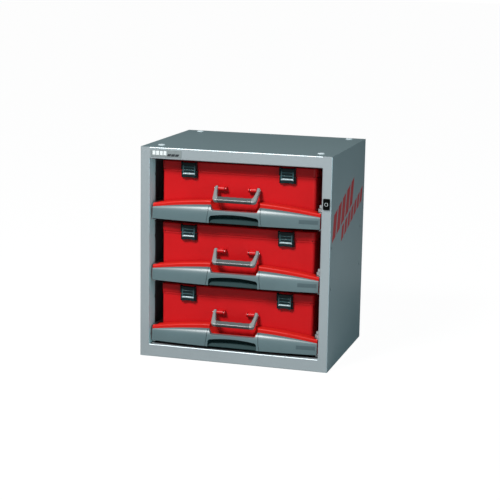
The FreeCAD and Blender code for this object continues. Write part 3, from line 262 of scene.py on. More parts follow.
class EffectLibrary:
    """Builds each shared effect once and places copies of it in finishes."""

    def __init__(self) -> None:
        """Start with no groups built."""
        self.groups: dict[Effect, bpy.types.NodeTree] = {}

    def place(self, sheet: NodeSheet, effect: Effect,
              **values: object) -> bpy.types.Node:
        """Place an effect in a material.

        Args:
            sheet: the material's node sheet.
            effect: which effect to place.
            **values: input values by name.

        Returns:
            The group node.
        """
        if effect not in self.groups:
            self.groups[effect] = self._build(effect)
        node = sheet.tree.nodes.new("ShaderNodeGroup")
        node.node_tree = self.groups[effect]
        for name, value in values.items():
            sheet.feed(value, node.inputs[name])
        return node

    def _build(self, effect: Effect) -> bpy.types.NodeTree:
        """Make the group of one effect.

        Args:
            effect: which effect to make.

        Returns:
            The group's node tree.
        """
        tree = bpy.data.node_groups.new(effect.value, "ShaderNodeTree")
        ways = {
            Effect.GRAIN: (("Vector", "Scale", "Depth"), ("Height",), EffectBody.grain),
            Effect.DRIFT: (("Vector", "Colour", "Amount", "Scale"), ("Colour",), EffectBody.drift),
            Effect.SCUFF: (("Vector", "Scale", "Amount"), ("Mask",), EffectBody.scuff),
            Effect.SPANGLE: (("Vector", "Scale"), ("Tone", "Mask"), EffectBody.spangle),
        }
        inputs, outputs, fill = ways[effect]
        kinds = {"Vector": "NodeSocketVector", "Colour": "NodeSocketColor"}
        for way, names in (("INPUT", inputs), ("OUTPUT", outputs)):
            for name in names:
                tree.interface.new_socket(name, in_out=way,
                                          socket_type=kinds.get(name, "NodeSocketFloat"))
        start = tree.nodes.new("NodeGroupInput")
        end = tree.nodes.new("NodeGroupOutput")
        fill(EffectBody(NodeSheet(tree), start.outputs, end.inputs))
        return tree


# ---- finishes
@dataclass(frozen=True)
class Finish:
    """What every finish has: a name, the record's slot, a colour and a gloss."""

    name: str
    slot: str
    colour: Triple
    roughness: float

    def start(self) -> tuple[Material, NodeSheet, bpy.types.Node, Socket]:
        """Make the material with its shader and object coordinates.

        Returns:
            The material, its node sheet, its shader and the coordinates' socket.
        """
        material = bpy.data.materials.new(self.name)
        material.use_nodes = True
        material.diffuse_color = (*self.colour, 1.0)
        sheet = NodeSheet(material.node_tree)
        shader = material.node_tree.nodes["Principled BSDF"]
        place = sheet.add("TexCoord").outputs["Object"]
        return material, sheet, shader, place

    def make(self, effects: EffectLibrary) -> Material:
        """Make the material."""
        raise NotImplementedError

    def relief(self, sheet: NodeSheet, shader: bpy.types.Node,
               height: Socket, strength: float, distance: float) -> None:
        """Feed a height to the shader's normal.

        Args:
            sheet: the material's node sheet.
            shader: the material's shader.
            height: the height's socket.
            strength: how strongly it shows.
            distance: its depth in metres.
        """
        bump = sheet.add("Bump", Strength=strength, Distance=distance)
        sheet.wire(height, bump.inputs["Height"])
        sheet.wire(bump.outputs["Normal"], shader.inputs["Normal"])


@dataclass(frozen=True)
class BarRow:
    """One row of slanted bars: where it runs, how high it stands and how its bars repeat."""

    start: float
    end: float
    low: float
    high: float
    pitch: float
    width: float


@dataclass(frozen=True)
class SlantedBars:
    """Two rows of plain slanted bars that climb the right side, in metres unless it says mm."""

    colour: Triple = (0.44, 0.003, 0.008)
    front_mm: float = 12.0
    level: float = 0.333
    climb: float = 0.295
    lean: float = 0.28
    side: float = 0.2536
    rows: tuple[BarRow, ...] = (
        BarRow(start=0.004, end=0.230, low=0.0, high=0.064, pitch=0.048, width=0.037),
        BarRow(start=0.118, end=0.366, low=-0.044, high=-0.008, pitch=0.036, width=0.026),
    )

    def mask(self, sheet: NodeSheet, place: Socket) -> Socket:
        """Mark the bars on the right side.

        Args:
            sheet: the material's node sheet.
            place: object coordinates.

        Returns:
            The mask, one inside the bars.
        """
        split = sheet.add("SeparateXYZ")
        sheet.wire(place, split.inputs[0])
        along = sheet.maths("SUBTRACT", split.outputs["Y"], front(self.front_mm))
        climbed = sheet.maths("ADD", self.level, sheet.maths("MULTIPLY", along, self.climb))
        rise = sheet.maths("SUBTRACT", split.outputs["Z"], climbed)
        lean = sheet.maths("SUBTRACT", along, sheet.maths("MULTIPLY", rise, self.lean))
        mask: Socket | None = None
        for row in self.rows:
            offset = sheet.maths("SUBTRACT", lean, row.start)
            inside = sheet.maths("MULTIPLY", sheet.maths("GREATER_THAN", offset, 0.0),
                                 sheet.maths("LESS_THAN", offset, row.end - row.start))
            level = sheet.maths("MULTIPLY", sheet.maths("GREATER_THAN", rise, row.low),
                                sheet.maths("LESS_THAN", rise, row.high))
            bar = sheet.maths("LESS_THAN", sheet.maths("FLOORED_MODULO", offset, row.pitch),
                              row.width)
            found = sheet.maths("MULTIPLY", sheet.maths("MULTIPLY", inside, level), bar)
            mask = found if mask is None else sheet.maths("MAXIMUM", mask, found)
        outside = sheet.maths("GREATER_THAN", split.outputs["X"], self.side)
        return sheet.maths("MULTIPLY", mask, outside)


@dataclass(frozen=True)
class PowderCoat(Finish):
    """Satin blue-grey coat on sheet steel, with fine metal flakes and a slight orange peel."""

    flake: float = 0.10
    metal: float = 0.55
    wear: float = 0.16
    varnish: float = 0.15
    varnish_roughness: float = 0.22
    peel: float = 420.0
    peel_strength: float = 0.22
    peel_depth: float = 0.00012
    bars: SlantedBars | None = None

    def make(self, effects: EffectLibrary) -> Material:
        """Make the coat's material.

        Args:
            effects: the shared effects.

        Returns:
            The material.
        """
        material, sheet, shader, place = self.start()
        drift = effects.place(sheet, Effect.DRIFT, Vector=place, Colour=(*self.colour, 1.0),
                              Amount=0.10, Scale=3.0)
        flakes = sheet.add("TexNoise", Scale=1600.0, Detail=1.0)
        sheet.wire(place, flakes.inputs["Vector"])
        light = tuple(min(1.0, c * (1.0 + 4.0 * self.flake)) for c in self.colour)
        colour = sheet.blend(sheet.span(flakes.outputs["Fac"], 0.5, 0.75, 0.0, 0.6),
                             drift.outputs["Colour"], light)
        scuff = effects.place(sheet, Effect.SCUFF, Vector=place, Scale=40.0, Amount=0.5)
        shader.inputs["Metallic"].default_value = self.metal
        if self.bars:
            bars = self.bars.mask(sheet, place)
            colour = sheet.blend(bars, colour, self.bars.colour)
            bare = sheet.maths("MULTIPLY", sheet.maths("SUBTRACT", 1.0, bars), self.metal)
            sheet.wire(bare, shader.inputs["Metallic"])
        sheet.wire(colour, shader.inputs["Base Color"])
        rough = sheet.span(scuff.outputs["Mask"], 0.0, 1.0, self.roughness,
                           self.roughness + self.wear)
        sheet.wire(rough, shader.inputs["Roughness"])
        shader.inputs["Coat Weight"].default_value = self.varnish
        shader.inputs["Coat Roughness"].default_value = self.varnish_roughness
        peel = effects.place(sheet, Effect.GRAIN, Vector=place, Scale=self.peel, Depth=1.0)
        self.relief(sheet, shader, peel.outputs["Height"], self.peel_strength, self.peel_depth)
        return material


@dataclass(frozen=True)
class MouldedPlastic(Finish):
    """Moulded plastic with a spark-eroded grain, slow shade drift and faint scuffs."""

    grain: float = 700.0
    grain_depth: float = 0.00008
    grain_strength: float = 0.3
    gloss: float = 0.5
    scuffs: float = 0.6
    scuff_share: float = 0.45
    wear: float = 0.14
    sleeve: float = 0.0
    sleeve_colour: Triple = (0.0, 0.0, 0.0)

    def make(self, effects: EffectLibrary) -> Material:
        """Make the plastic's material.

        Args:
            effects: the shared effects.

        Returns:
            The material.
        """
        material, sheet, shader, place = self.start()
        drift = effects.place(sheet, Effect.DRIFT, Vector=place, Colour=(*self.colour, 1.0),
                              Amount=0.12, Scale=9.0)
        scuff = effects.place(sheet, Effect.SCUFF, Vector=place, Scale=60.0, Amount=self.scuffs)
        pale = tuple(min(1.0, c * 1.25 + 0.012) for c in self.colour)
        base = drift.outputs["Colour"]
        if self.sleeve:
            split = sheet.add("SeparateXYZ")
            sheet.wire(place, split.inputs[0])
            across = sheet.maths("ABSOLUTE", split.outputs["X"], 0.0)
            inside = sheet.maths("LESS_THAN", across, self.sleeve)
            base = sheet.blend(inside, base, self.sleeve_colour)
        shown = sheet.maths("MULTIPLY", scuff.outputs["Mask"], self.scuff_share)
        colour = sheet.blend(shown, base, pale)
        sheet.wire(colour, shader.inputs["Base Color"])
        rough = sheet.span(scuff.outputs["Mask"], 0.0, 1.0, self.roughness,
                           self.roughness + self.wear)
        sheet.wire(rough, shader.inputs["Roughness"])
        shader.inputs["Specular IOR Level"].default_value = self.gloss
        grain = effects.place(sheet, Effect.GRAIN, Vector=place, Scale=self.grain, Depth=1.0)
        self.relief(sheet, shader, grain.outputs["Height"], self.grain_strength, self.grain_depth)
        return material


@dataclass(frozen=True)
class ZincPlate(Finish):
    """Bright zinc plating on steel, with soft crystal patches."""

    spangle: float = 90.0
    shade: float = 0.82
    sheen: float = 0.06
    wear: float = 0.1
    relief_strength: float = 0.15
    relief_depth: float = 0.00008

    def make(self, effects: EffectLibrary) -> Material:
        """Make the plating's material.

        Args:
            effects: the shared effects.

        Returns:
            The material.
        """
        material, sheet, shader, place = self.start()
        cells = effects.place(sheet, Effect.SPANGLE, Vector=place, Scale=self.spangle)
        dark = tuple(c * self.shade for c in self.colour)
        colour = sheet.blend(cells.outputs["Tone"], dark, self.colour)
        sheet.wire(colour, shader.inputs["Base Color"])
        rough = sheet.span(cells.outputs["Mask"], 0.3, 0.7, self.roughness - self.sheen,
                           self.roughness + self.wear)
        sheet.wire(rough, shader.inputs["Roughness"])
        shader.inputs["Metallic"].default_value = 1.0
        self.relief(sheet, shader, cells.outputs["Mask"], self.relief_strength,
                    self.relief_depth)
        return material


@dataclass(frozen=True)
class TurnedMetal(Finish):
    """Metal with fine turning or brushing lines across one axis."""

    lines: Triple = (30.0, 30.0, 2500.0)
    shade: float = 0.85
    wear: float = 0.12
    relief_strength: float = 0.1
    relief_depth: float = 0.00004

    def make(self, effects: EffectLibrary) -> Material:
        """Make the metal's material.

        Args:
            effects: the shared effects.

        Returns:
            The material.
        """
        material, sheet, shader, place = self.start()
        stretch = sheet.add("Mapping")
        stretch.inputs["Scale"].default_value = self.lines
        sheet.wire(place, stretch.inputs["Vector"])
        brushed = sheet.add("TexNoise", Scale=1.0, Detail=2.0)
        sheet.wire(stretch.outputs["Vector"], brushed.inputs["Vector"])
        dark = tuple(c * self.shade for c in self.colour)
        colour = sheet.blend(brushed.outputs["Fac"], dark, self.colour)
        sheet.wire(colour, shader.inputs["Base Color"])
        rough = sheet.span(brushed.outputs["Fac"], 0.3, 0.7, self.roughness,
                           self.roughness + self.wear)
        sheet.wire(rough, shader.inputs["Roughness"])
        shader.inputs["Metallic"].default_value = 1.0
        self.relief(sheet, shader, brushed.outputs["Fac"], self.relief_strength,
                    self.relief_depth)
        return material


class Look(Enum):
    """The finishes of the cabinet, by the piece that wears them."""

    COAT = PowderCoat("cabinet_coat", "cabinet_paint", (0.345, 0.390, 0.408), 0.42)
    COAT_RIGHT = PowderCoat("cabinet_coat_with_bars", "cabinet_paint", (0.345, 0.390, 0.408), 0.42,
                            bars=SlantedBars())
    # Top coat painted darker and more teal than the rest: painted shade, as the top is turned away
    # from the lights.
    COAT_TOP_PAINTED_SHADE = PowderCoat("cabinet_coat_top_painted_shade", "cabinet_paint", (0.215, 0.285, 0.300), 0.42)
    # Coat of the stiles' returns painted paler: painted light on the returns' inner faces.
    COAT_RETURN_PAINTED_LIGHT = PowderCoat("cabinet_coat_return_painted_light", "cabinet_paint", (0.47, 0.66, 0.67), 0.46,
                             metal=0.15)
    RED = MouldedPlastic("case_red", "red_plastic", (0.42, 0.0042, 0.0062), 0.38, grain=900.0,
                         grain_strength=0.18, gloss=0.20)
    RED_FRONT = MouldedPlastic("front_red", "red_plastic", (0.44, 0.0085, 0.0058), 0.40,
                               grain=900.0, grain_strength=0.15, gloss=0.12)
    # Dark red painted into the shell's seam groove under the lid: painted shade.
    RED_SHADE = MouldedPlastic("seam_groove_painted_shade", "red_plastic", (0.08, 0.001, 0.002), 0.6, gloss=0.1)
    GREY = MouldedPlastic("bumper_grey", "grey_plastic", (0.074, 0.115, 0.124), 0.36, grain=1000.0,
                          grain_strength=0.2, gloss=0.6)
    # Near-black grey painted inside the finger pocket: painted shade in the pocket.
    POCKET_PAINTED_SHADE = MouldedPlastic("pocket_painted_shade", "grey_plastic", (0.012, 0.032, 0.034), 0.5, gloss=0.25)
    SEAM = MouldedPlastic("seam_dark", "grey_plastic", (0.010, 0.014, 0.015), 0.6, gloss=0.2)
    BADGE = MouldedPlastic("badge_grey", "grey_plastic", (0.042, 0.070, 0.078), 0.42)
    GREY_HANDLE = MouldedPlastic("handle_grey", "grey_plastic", (0.17, 0.180, 0.180), 0.30,
                                 grain=1000.0, sleeve=0.0455, sleeve_colour=(0.060, 0.065, 0.066))
    DARK = MouldedPlastic("latch_dark", "dark_plastic", (0.003, 0.012, 0.014), 0.34, grain=900.0,
                          scuffs=0.3, gloss=0.22)
    # Paler teal on the lever's proud rails and ribs: painted highlights on their edges.
    RIM_PAINTED_HIGHLIGHT = MouldedPlastic("latch_rim_painted_highlight", "dark_plastic", (0.026, 0.068, 0.075), 0.26, grain=900.0,
                              scuffs=0.3, gloss=0.45)
    # Pale grey on the lever's pull bar: a painted highlight on the pull lip.
    PULL_PAINTED_HIGHLIGHT = MouldedPlastic("latch_pull_painted_highlight", "dark_plastic", (0.28, 0.36, 0.38), 0.24, grain=900.0,
                          gloss=0.9)
    LATCH_FRAME = MouldedPlastic("latch_frame", "dark_plastic", (0.002, 0.005, 0.006), 0.42,
                                 scuffs=0.2, gloss=0.15)
    BLACK = MouldedPlastic("black_plastic", "black_plastic", (0.02, 0.02, 0.022), 0.5)
    PLUG = MouldedPlastic("plug_plastic", "plug_plastic", (0.46, 0.52, 0.54), 0.38)
    ZINC = ZincPlate("zinc_plate", "zinc_steel", (0.62, 0.635, 0.645), 0.36)
    LOCK_BODY = MouldedPlastic("lock_black", "lock_black", (0.0008, 0.001, 0.001), 0.5, scuffs=0.0,
                              gloss=0.04)
    LOCK_PLUG = TurnedMetal("lock_plug_metal", "lock_metal", (0.012, 0.013, 0.013), 0.5)
    # Pale ring on the lock plug: a painted highlight standing for the polished rim's reflection.
    LOCK_RIM_PAINTED_HIGHLIGHT = MouldedPlastic("lock_rim_painted_highlight", "lock_metal", (0.55, 0.58, 0.58), 0.3)
    PIN = TurnedMetal("pin_steel", "pin_steel", (0.55, 0.56, 0.57), 0.3, lines=(2500.0, 30.0, 30.0))
    LABEL = TurnedMetal("label_metal", "label_plate", (0.36, 0.41, 0.415), 0.46,
                        lines=(2500.0, 30.0, 30.0))
    LABEL_WHITE = MouldedPlastic("label_white", "label_plate", (0.60, 0.63, 0.63), 0.4)
    LABEL_INK = MouldedPlastic("label_ink", "lock_black", (0.018, 0.022, 0.026), 0.4)


class Wardrobe:
    """Makes each finish's material the first time it is asked for."""

    def __init__(self) -> None:
        """Start with no materials made."""
        self.effects = EffectLibrary()
        self.made: dict[Look, Material] = {}

    def material(self, look: Look) -> Material:
        """Give the material of a look.

        Args:
            look: the finish wanted.

        Returns:
            Its material, the same one each time.
        """
        if look not in self.made:
            self.made[look] = look.value.make(self.effects)
        return self.made[look]

    def dress_node(self, node: str, look: Look) -> None:
        """Give a CAD node its finish.

        Args:
            node: the node's name.
            look: the finish it gets.
        """
        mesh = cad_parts[node].data
        mesh.materials.clear()
        mesh.materials.append(self.material(look))


# ---- pieces
class Workbench:
    """Turns finished bmeshes into pieces of the model."""

    # A distance in metres, two angles in radians and one in degrees.
    WELD = 1e-6
    FLAT = math.radians(0.1)
    SHARP = math.radians(32.0)
    SMOOTH = 50.0

    def __init__(self, wardrobe: Wardrobe) -> None:
        """Keep the wardrobe of the pieces' materials and start with no pieces."""
        self.wardrobe = wardrobe
        self.pieces: dict[str, str] = {}

    def publish(self, shape: BMesh, name: str, body: str, looks: Sequence[Look],
                replaced: Sequence[str] = (), smooth: float = 35.0,
                weighted: bool = False) -> None:
        """Make a piece of a bmesh and let it ride on a body.

        Args:
            shape: the finished bmesh, in the row frame.
            name: the piece's name.
            body: the body it rides on.
            looks: its finishes, by material index.
            replaced: CAD nodes it stands for.
            smooth: the largest angle in degrees that is shaded smooth.
            weighted: whether large faces keep their own shading flat.
        """
        limit = math.radians(smooth)
        for face in shape.faces:
            face.smooth = True
        for edge in shape.edges:
            edge.smooth = len(edge.link_faces) == 2 and edge.calc_face_angle(0.0) < limit
        mesh = bpy.data.meshes.new(name)
        shape.to_mesh(mesh)
        shape.free()
        for look in looks:
            mesh.materials.append(self.wardrobe.material(look))
        piece = bpy.data.objects.new(name, mesh)
        bpy.context.scene.collection.objects.link(piece)
        if weighted:
            normals = piece.modifiers.new("even_normals", "WEIGHTED_NORMAL")
            normals.keep_sharp = True
        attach(piece, body)
        if replaced:
            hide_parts(*replaced)
        self.pieces[name] = body

    @staticmethod
    def ease(shape: BMesh, edges: Sequence[bmesh.types.BMEdge], width: float,
             segments: int = 1) -> None:
        """Round some edges of a bmesh to a width in metres, each with so many faces."""
        bmesh.ops.bevel(shape, geom=edges, offset=width, offset_type="OFFSET", segments=segments,
                        profile=0.5, affect="EDGES", clamp_overlap=True, material=-1)

    @staticmethod
    def relax(shape: BMesh, low: Vector, high: Vector) -> None:
        """Turn the triangles of a rounded upper edge for the smallest angles between them.

        Args:
            shape: the bmesh.
            low: lowest corner of the box that holds the rounded edge.
            high: highest corner of that box.
        """
        flat_front = -0.99999
        faces = [face for face in shape.faces
                 if face.normal.z > 0.0 and face.normal.y > flat_front
                 and all(low[axis] < vert.co[axis] < high[axis]
                         for vert in face.verts for axis in range(3))]
        held = set(faces)
        edges = [edge for edge in shape.edges if all(face in held for face in edge.link_faces)]
        bmesh.ops.beautify_fill(shape, faces=faces, edges=edges, method="ANGLE")

    def refine(self, node: str, body: str, looks: Sequence[Look], width: float,
               choose: Callable[[Vector], int] | None = None,
               relaxed: tuple[Vector, Vector] | None = None) -> None:
        """Stand in for a CAD node with a copy that has eased edges and its own finishes.

        Args:
            node: the node's name.
            body: the body it rides on.
            looks: its finishes, by material index.
            width: the width of the eased edges in metres.
            choose: gives the material index of a face from its centre.
            relaxed: lowest and highest corner of a rounded part whose triangles are turned.
        """
        shape = bmesh.new()
        shape.from_mesh(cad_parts[node].data)
        bmesh.ops.remove_doubles(shape, verts=shape.verts, dist=self.WELD)
        if relaxed:
            self.relax(shape, *relaxed)
        bmesh.ops.dissolve_limit(shape, angle_limit=self.FLAT, verts=shape.verts,
                                 edges=shape.edges)
        sharp = [edge for edge in shape.edges
                 if len(edge.link_faces) == 2 and edge.calc_face_angle(0.0) > self.SHARP]
        self.ease(shape, sharp, width, 2)
        for face in shape.faces:
            face.material_index = choose(face.calc_center_median()) if choose else 0
        self.publish(shape, node + "_moulded", body, looks, (node,), self.SMOOTH,
                     True)

    @staticmethod
    def slab(low: Vector, high: Vector, width: float) -> BMesh:
        """Make a block with eased edges.

        Args:
            low: its lowest corner.
            high: its highest corner.
            width: the width of its eased edges in metres.

        Returns:
            The new bmesh.
        """
        shape = bmesh.new()
        bmesh.ops.create_cube(shape, size=1.0)
        bmesh.ops.scale(shape, vec=high - low, verts=shape.verts)
        bmesh.ops.translate(shape, vec=(low + high) / 2, verts=shape.verts)
        Workbench.ease(shape, shape.edges[:], width)
        return shape

    @staticmethod
    def gather(parts: Sequence[tuple[BMesh, int]]) -> BMesh:
        """Put several bmeshes into one, each with its material index.

        Args:
            parts: the bmeshes, which are freed, and their material indices.

        Returns:
            The bmesh that holds them all.
        """
        whole = bmesh.new()
        for shape, index in parts:
            for face in shape.faces:
                face.material_index = index
            mesh = bpy.data.meshes.new("part")
            shape.to_mesh(mesh)
            shape.free()
            whole.from_mesh(mesh)
            bpy.data.meshes.remove(mesh)
        return whole


@dataclass(frozen=True)
class PrintedRow:
    """One row of bars on the label, in shares of the plate's length and height."""

    count: int
    start: float
    step: float
    width: float
    low: float
    high: float
    proud: float
    slant: float = 0.0


@dataclass
class Cabinet:
    """The folded steel cabinet with its plugs, label, runners and lock.

    Its sizes are in metres, but stile_return is in millimetres.
    """

    bench: Workbench
    opening: float = field(default_factory=lambda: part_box("side_panel_right")[0][0])
    edge: float = 0.0004
    lock_edge: float = 0.0005
    height: float = 0.556
    stile_return: float = 43.0
    print_sink: float = 0.0001
    print_edge: float = 0.00008
    label_rows: tuple[PrintedRow, ...] = (
        PrintedRow(4, start=0.07, step=0.118, width=0.092, low=0.28, high=0.84, proud=0.00025),
        PrintedRow(3, start=0.575, step=0.128, width=0.108, low=0.16, high=0.48, proud=0.00045,
                   slant=0.6),
    )
    ring_radius: float = 0.0044
    ring_width: float = 0.0008
    ring_depth: float = 0.0003
    ring_proud: float = 0.0002
    key_half: tuple[float, float] = (0.0010, 0.0040)
    key_edge: float = 0.0001
    coated: dict[str, Look] = field(default_factory=lambda: {
        "side_panel_left": Look.COAT,
        "side_panel_right": Look.COAT_RIGHT,
        "top_panel": Look.COAT,
        "bottom_panel": Look.COAT,
        "back_panel": Look.COAT,
    })
    fittings: dict[str, Look] = field(default_factory=lambda: {
        "rear_uprights": Look.ZINC,
        "runner_outer_members": Look.ZINC,
        "runner_screws": Look.ZINC,
        "top_plugs": Look.PLUG,
        "label_plate": Look.LABEL,
        "lock_housing": Look.LOCK_BODY,
        "lock_cylinder": Look.LOCK_PLUG,
        "lock_cam": Look.ZINC,
        "locking_bar": Look.ZINC,
        "locking_bar_guides": Look.BLACK,
    })

    def build(self) -> None:
        """Dress every fixed node of the cabinet and add the label's bars and the lock's face."""
        for node, look in {**self.coated, **self.fittings}.items():
            self.bench.wardrobe.dress_node(node, look)
        for node, look in self.coated.items():
            if node != "back_panel":
                self.bench.refine(node, "cabinet", (look, Look.COAT_RETURN_PAINTED_LIGHT, Look.COAT_TOP_PAINTED_SHADE),
                                  self.edge, self._panel_part)
        self.bench.refine("lock_housing", "cabinet", (Look.LOCK_BODY,), self.lock_edge)
        self._label_bars()
        self._lock_face()

    def _panel_part(self, centre: Vector) -> int:
        """Choose the finish of a panel's face: stiles' returns are painted paler as painted light
        and the top is painted darker as painted shade.

        Args:
            centre: the middle of the face.

        Returns:
            Its material index.
        """
        # Top faces get the darker coat: painted shade.
        if centre.z > self.height - NEAR:
            return 2
        # Faces of the stiles' returns get the paler coat: painted light.
        return int(abs(abs(centre.x) - self.opening) < NEAR
                   and behind(centre) < self.stile_return)

    def _label_bars(self) -> None:
        """Print plain pale bars and, beside them, lower dark slanted ones on the label plate."""
        low, high = (Vector(corner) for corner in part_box("label_plate"))
        length, tall = high.x - low.x, high.z - low.z
        middle = (low.z + high.z) / 2
        parts = []
        for ink, row in enumerate(self.label_rows):
            for index in range(row.count):
                x = low.x + length * (row.start + row.step * index)
                bar = Workbench.slab(
                    Vector((x, low.y - row.proud, low.z + tall * row.low)),
                    Vector((x + length * row.width, low.y + self.print_sink,
                            low.z + tall * row.high)), self.print_edge)
                for vert in bar.verts:
                    vert.co.x += (vert.co.z - middle) * row.slant
                parts.append((bar, ink))
        self.bench.publish(Workbench.gather(parts), "label_bars", "cabinet",
                           (Look.LABEL_WHITE, Look.LABEL_INK))

    def _lock_face(self) -> None:
        """Add a pale ring, a painted highlight standing for a polished rim, and a black key slot as
        painted shade, to the face of the lock plug.
        """
        low, high = (Vector(corner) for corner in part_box("lock_cylinder"))
        centre = Vector(((low.x + high.x) / 2, low.y - self.ring_proud, (low.z + high.z) / 2))
        turn = Matrix.Rotation(math.radians(90.0), 4, "X")
        ring = bmesh.new()
        bmesh.ops.create_circle(ring, cap_ends=True, segments=40, radius=self.ring_radius)
        bmesh.ops.inset_region(ring, faces=ring.faces[:], thickness=self.ring_width, depth=0.0,
                               use_boundary=True)
        inner = min(ring.faces, key=lambda face: face.calc_center_median().length)
        bmesh.ops.delete(ring, geom=[inner], context="FACES_ONLY")
        bmesh.ops.solidify(ring, geom=ring.faces[:], thickness=self.ring_depth)
        bmesh.ops.transform(ring, matrix=Matrix.Translation(centre) @ turn, verts=ring.verts)
        bmesh.ops.recalc_face_normals(ring, faces=ring.faces)
        # The key slot is a black slab proud of the plug: painted shade standing for the dark
        # keyway.
        across, tall = self.key_half
        key = Workbench.slab(centre + Vector((-across, -self.ring_proud, -tall)),
                             centre + Vector((across, self.ring_depth, tall)), self.key_edge)
        self.bench.publish(Workbench.gather([(ring, 0), (key, 1)]), "lock_rim", "lock_plug",
                           (Look.LOCK_RIM_PAINTED_HIGHLIGHT, Look.LOCK_BODY))


@dataclass
class Drawer:
    """One pull-out tray with its runners, grip front and carrying case.

    Its sizes are in millimetres, with heights from the drawer's level, but the widths of eased
    edges and the badge's relief are in metres.
    """

    bench: Workbench
    number: int
    pitch: float = 163.5
    first_level: float = 42.0
    latch_offset: float = 131.0
    latch_low: float = 108.4
    latch_face: float = 28.2
    latch_relief: float = 0.35
    latch_skin: float = 0.01
    pull_span: tuple[float, float] = (7.2, 13.8)
    bracket_half: float = 21.4
    catch_low: float = 107.0
    lid_face: float = 35.0
    shell_face: float = 37.0
    groove_span: tuple[float, float] = (125.1, 128.4)
    groove_near: float = 0.4
    seam_half: float = 0.92
    seam_inner: float = 68.7
    seam_sweep: float = 5.3
    seam_top: float = 48.5
    seam_fall: float = 50.5
    bumper_front: float = 12.0
    bumper_bulge: float = 17.5
    bumper_taper: float = 13.3
    bumper_half: float = 224.7
    bumper_roll: float = 0.37
    bumper_rise: float = 46.5
    pocket_half: float = 66.5
    pocket_rise: float = 24.5
    pocket_skin: float = 0.8
    rounding: tuple[Triple, Triple] = ((-230.0, 11.99, 33.0), (230.0, 17.01, 60.0))
    badge: tuple[float, float, float, float] = (170.0, 219.0, 12.5, 22.5)
    badge_proud: float = 0.00035
    badge_depth: float = 0.0006
    badge_edge: float = 0.00012
    cast_from: float = -60.0
    moulded_edge: float = 0.0006
    case_edge: float = 0.0004
    looks: dict[str, Look] = field(default_factory=lambda: {
        "tray_pan": Look.ZINC,
        "tray_front": Look.RED_FRONT,
        "bumper_left": Look.GREY,
        "bumper_right": Look.GREY,
        "grip": Look.GREY,
        "runner_middle": Look.ZINC,
        "runner_inner": Look.ZINC,
        "ball_cages_outer": Look.BLACK,
        "ball_cages_inner": Look.BLACK,
        "case_shell": Look.RED,
        "case_lid": Look.RED,
        "case_pins": Look.PIN,
        "latch_left": Look.DARK,
        "latch_right": Look.DARK,
        "handle": Look.GREY_HANDLE,
    })

    @property
    def base(self) -> float:
        """Height of the drawer's level in millimetres."""
        return self.first_level + (self.number - 1) * self.pitch

    def build(self) -> None:
        """Dress every node of the drawer, then ease its mouldings and add its badge."""
        for stem, look in self.looks.items():
            self.bench.wardrobe.dress_node(self.named(stem), look)
        body = self.named("drawer")
        self.bench.refine(self.named("tray_front"), body, (Look.RED_FRONT,), self.moulded_edge,
                          relaxed=tuple(spot(x, y, self.base + z) for x, y, z in self.rounding))
        grey, red = (Look.GREY, Look.SEAM), (Look.RED, Look.LATCH_FRAME)
        for stem, looks, edge, choose in (
                ("bumper_left", grey, self.moulded_edge, self._wing_part),
                ("bumper_right", grey, self.moulded_edge, self._wing_part),
                ("grip", (Look.GREY, Look.POCKET_PAINTED_SHADE, Look.SEAM), self.moulded_edge, self._grip_part),
                ("case_shell", (*red, Look.RED_SHADE), self.case_edge, self._shell_part),
                ("case_lid", red, self.case_edge, self._lid_part)):
            self.bench.refine(self.named(stem), body, looks, edge, choose)
        for stem in ("latch_left", "latch_right"):
            self.bench.refine(self.named(stem), self.named(stem),
                              (Look.DARK, Look.RIM_PAINTED_HIGHLIGHT, Look.PULL_PAINTED_HIGHLIGHT), self.case_edge,
                              self._lever_part)
        self._badge_pad(body)

    def named(self, stem: str) -> str:
        """Name of this drawer's own node or body."""
        return f"{stem}_{self.number}"

    def _at_seam(self, centre: Vector) -> bool:
        """Tell whether a face lies at the curved seam between a wing and the grip.

        Args:
            centre: the middle of the face.

        Returns:
            Whether it does.
        """
        fall = (self.seam_top - (centre.z / MM - self.base)) / self.seam_fall
        reach = abs(centre.x) / MM - self.seam_inner - self.seam_sweep * fall * fall
        return abs(reach) < self.seam_half

    def _wing_part(self, centre: Vector) -> int:
        """Choose the finish of a wing's face from its middle: the seam is dark."""
        return int(self._at_seam(centre))

    def _grip_part(self, centre: Vector) -> int:
        """Choose the finish of a face of the grip: the finger pocket's inside is painted dark as
        painted shade, and the seams are dark.

        Args:
            centre: the middle of the face.

        Returns:
            Its material index.
        """
        if self._at_seam(centre):
            return 2
        x, z = abs(centre.x) / MM, centre.z / MM - self.base
        bulge = self.bumper_bulge - self.bumper_taper * (x / self.bumper_half) ** 2
        skin = self.bumper_front - bulge + self.bumper_roll * bulge * (z / self.bumper_rise) ** 2
        # Faces behind the front skin inside the pocket get the painted shade.
        return int(x < self.pocket_half and z < self.pocket_rise
                   and behind(centre) > skin + self.pocket_skin)

    def _on_latch(self, centre: Vector, face: float) -> bool:
        """Whether a face is on a latch bracket, which stands in front of the given wall."""
        across = abs(abs(centre.x) / MM - self.latch_offset)
        return across < self.bracket_half and (centre.y - front(face)) / MM < -self.latch_skin

    def _shell_part(self, centre: Vector) -> int:
        """Choose the finish of a face of the shell: catch plates are dark, and the seam groove is
        painted dark as painted shade.

        Args:
            centre: the middle of the face.

        Returns:
            Its material index.
        """
        low, high = self.groove_span
        rise = centre.z / MM - self.base
        near = abs((centre.y - front(self.shell_face)) / MM) < self.groove_near
        # Faces in the seam groove get the painted shade.
        if low < rise < high and near:
            return 2
        return int(self._on_latch(centre, self.shell_face) and rise > self.catch_low)

    def _lid_part(self, centre: Vector) -> int:
        """Choose the finish of a lid's face from its middle: the latch brackets are dark."""
        return int(self._on_latch(centre, self.lid_face))

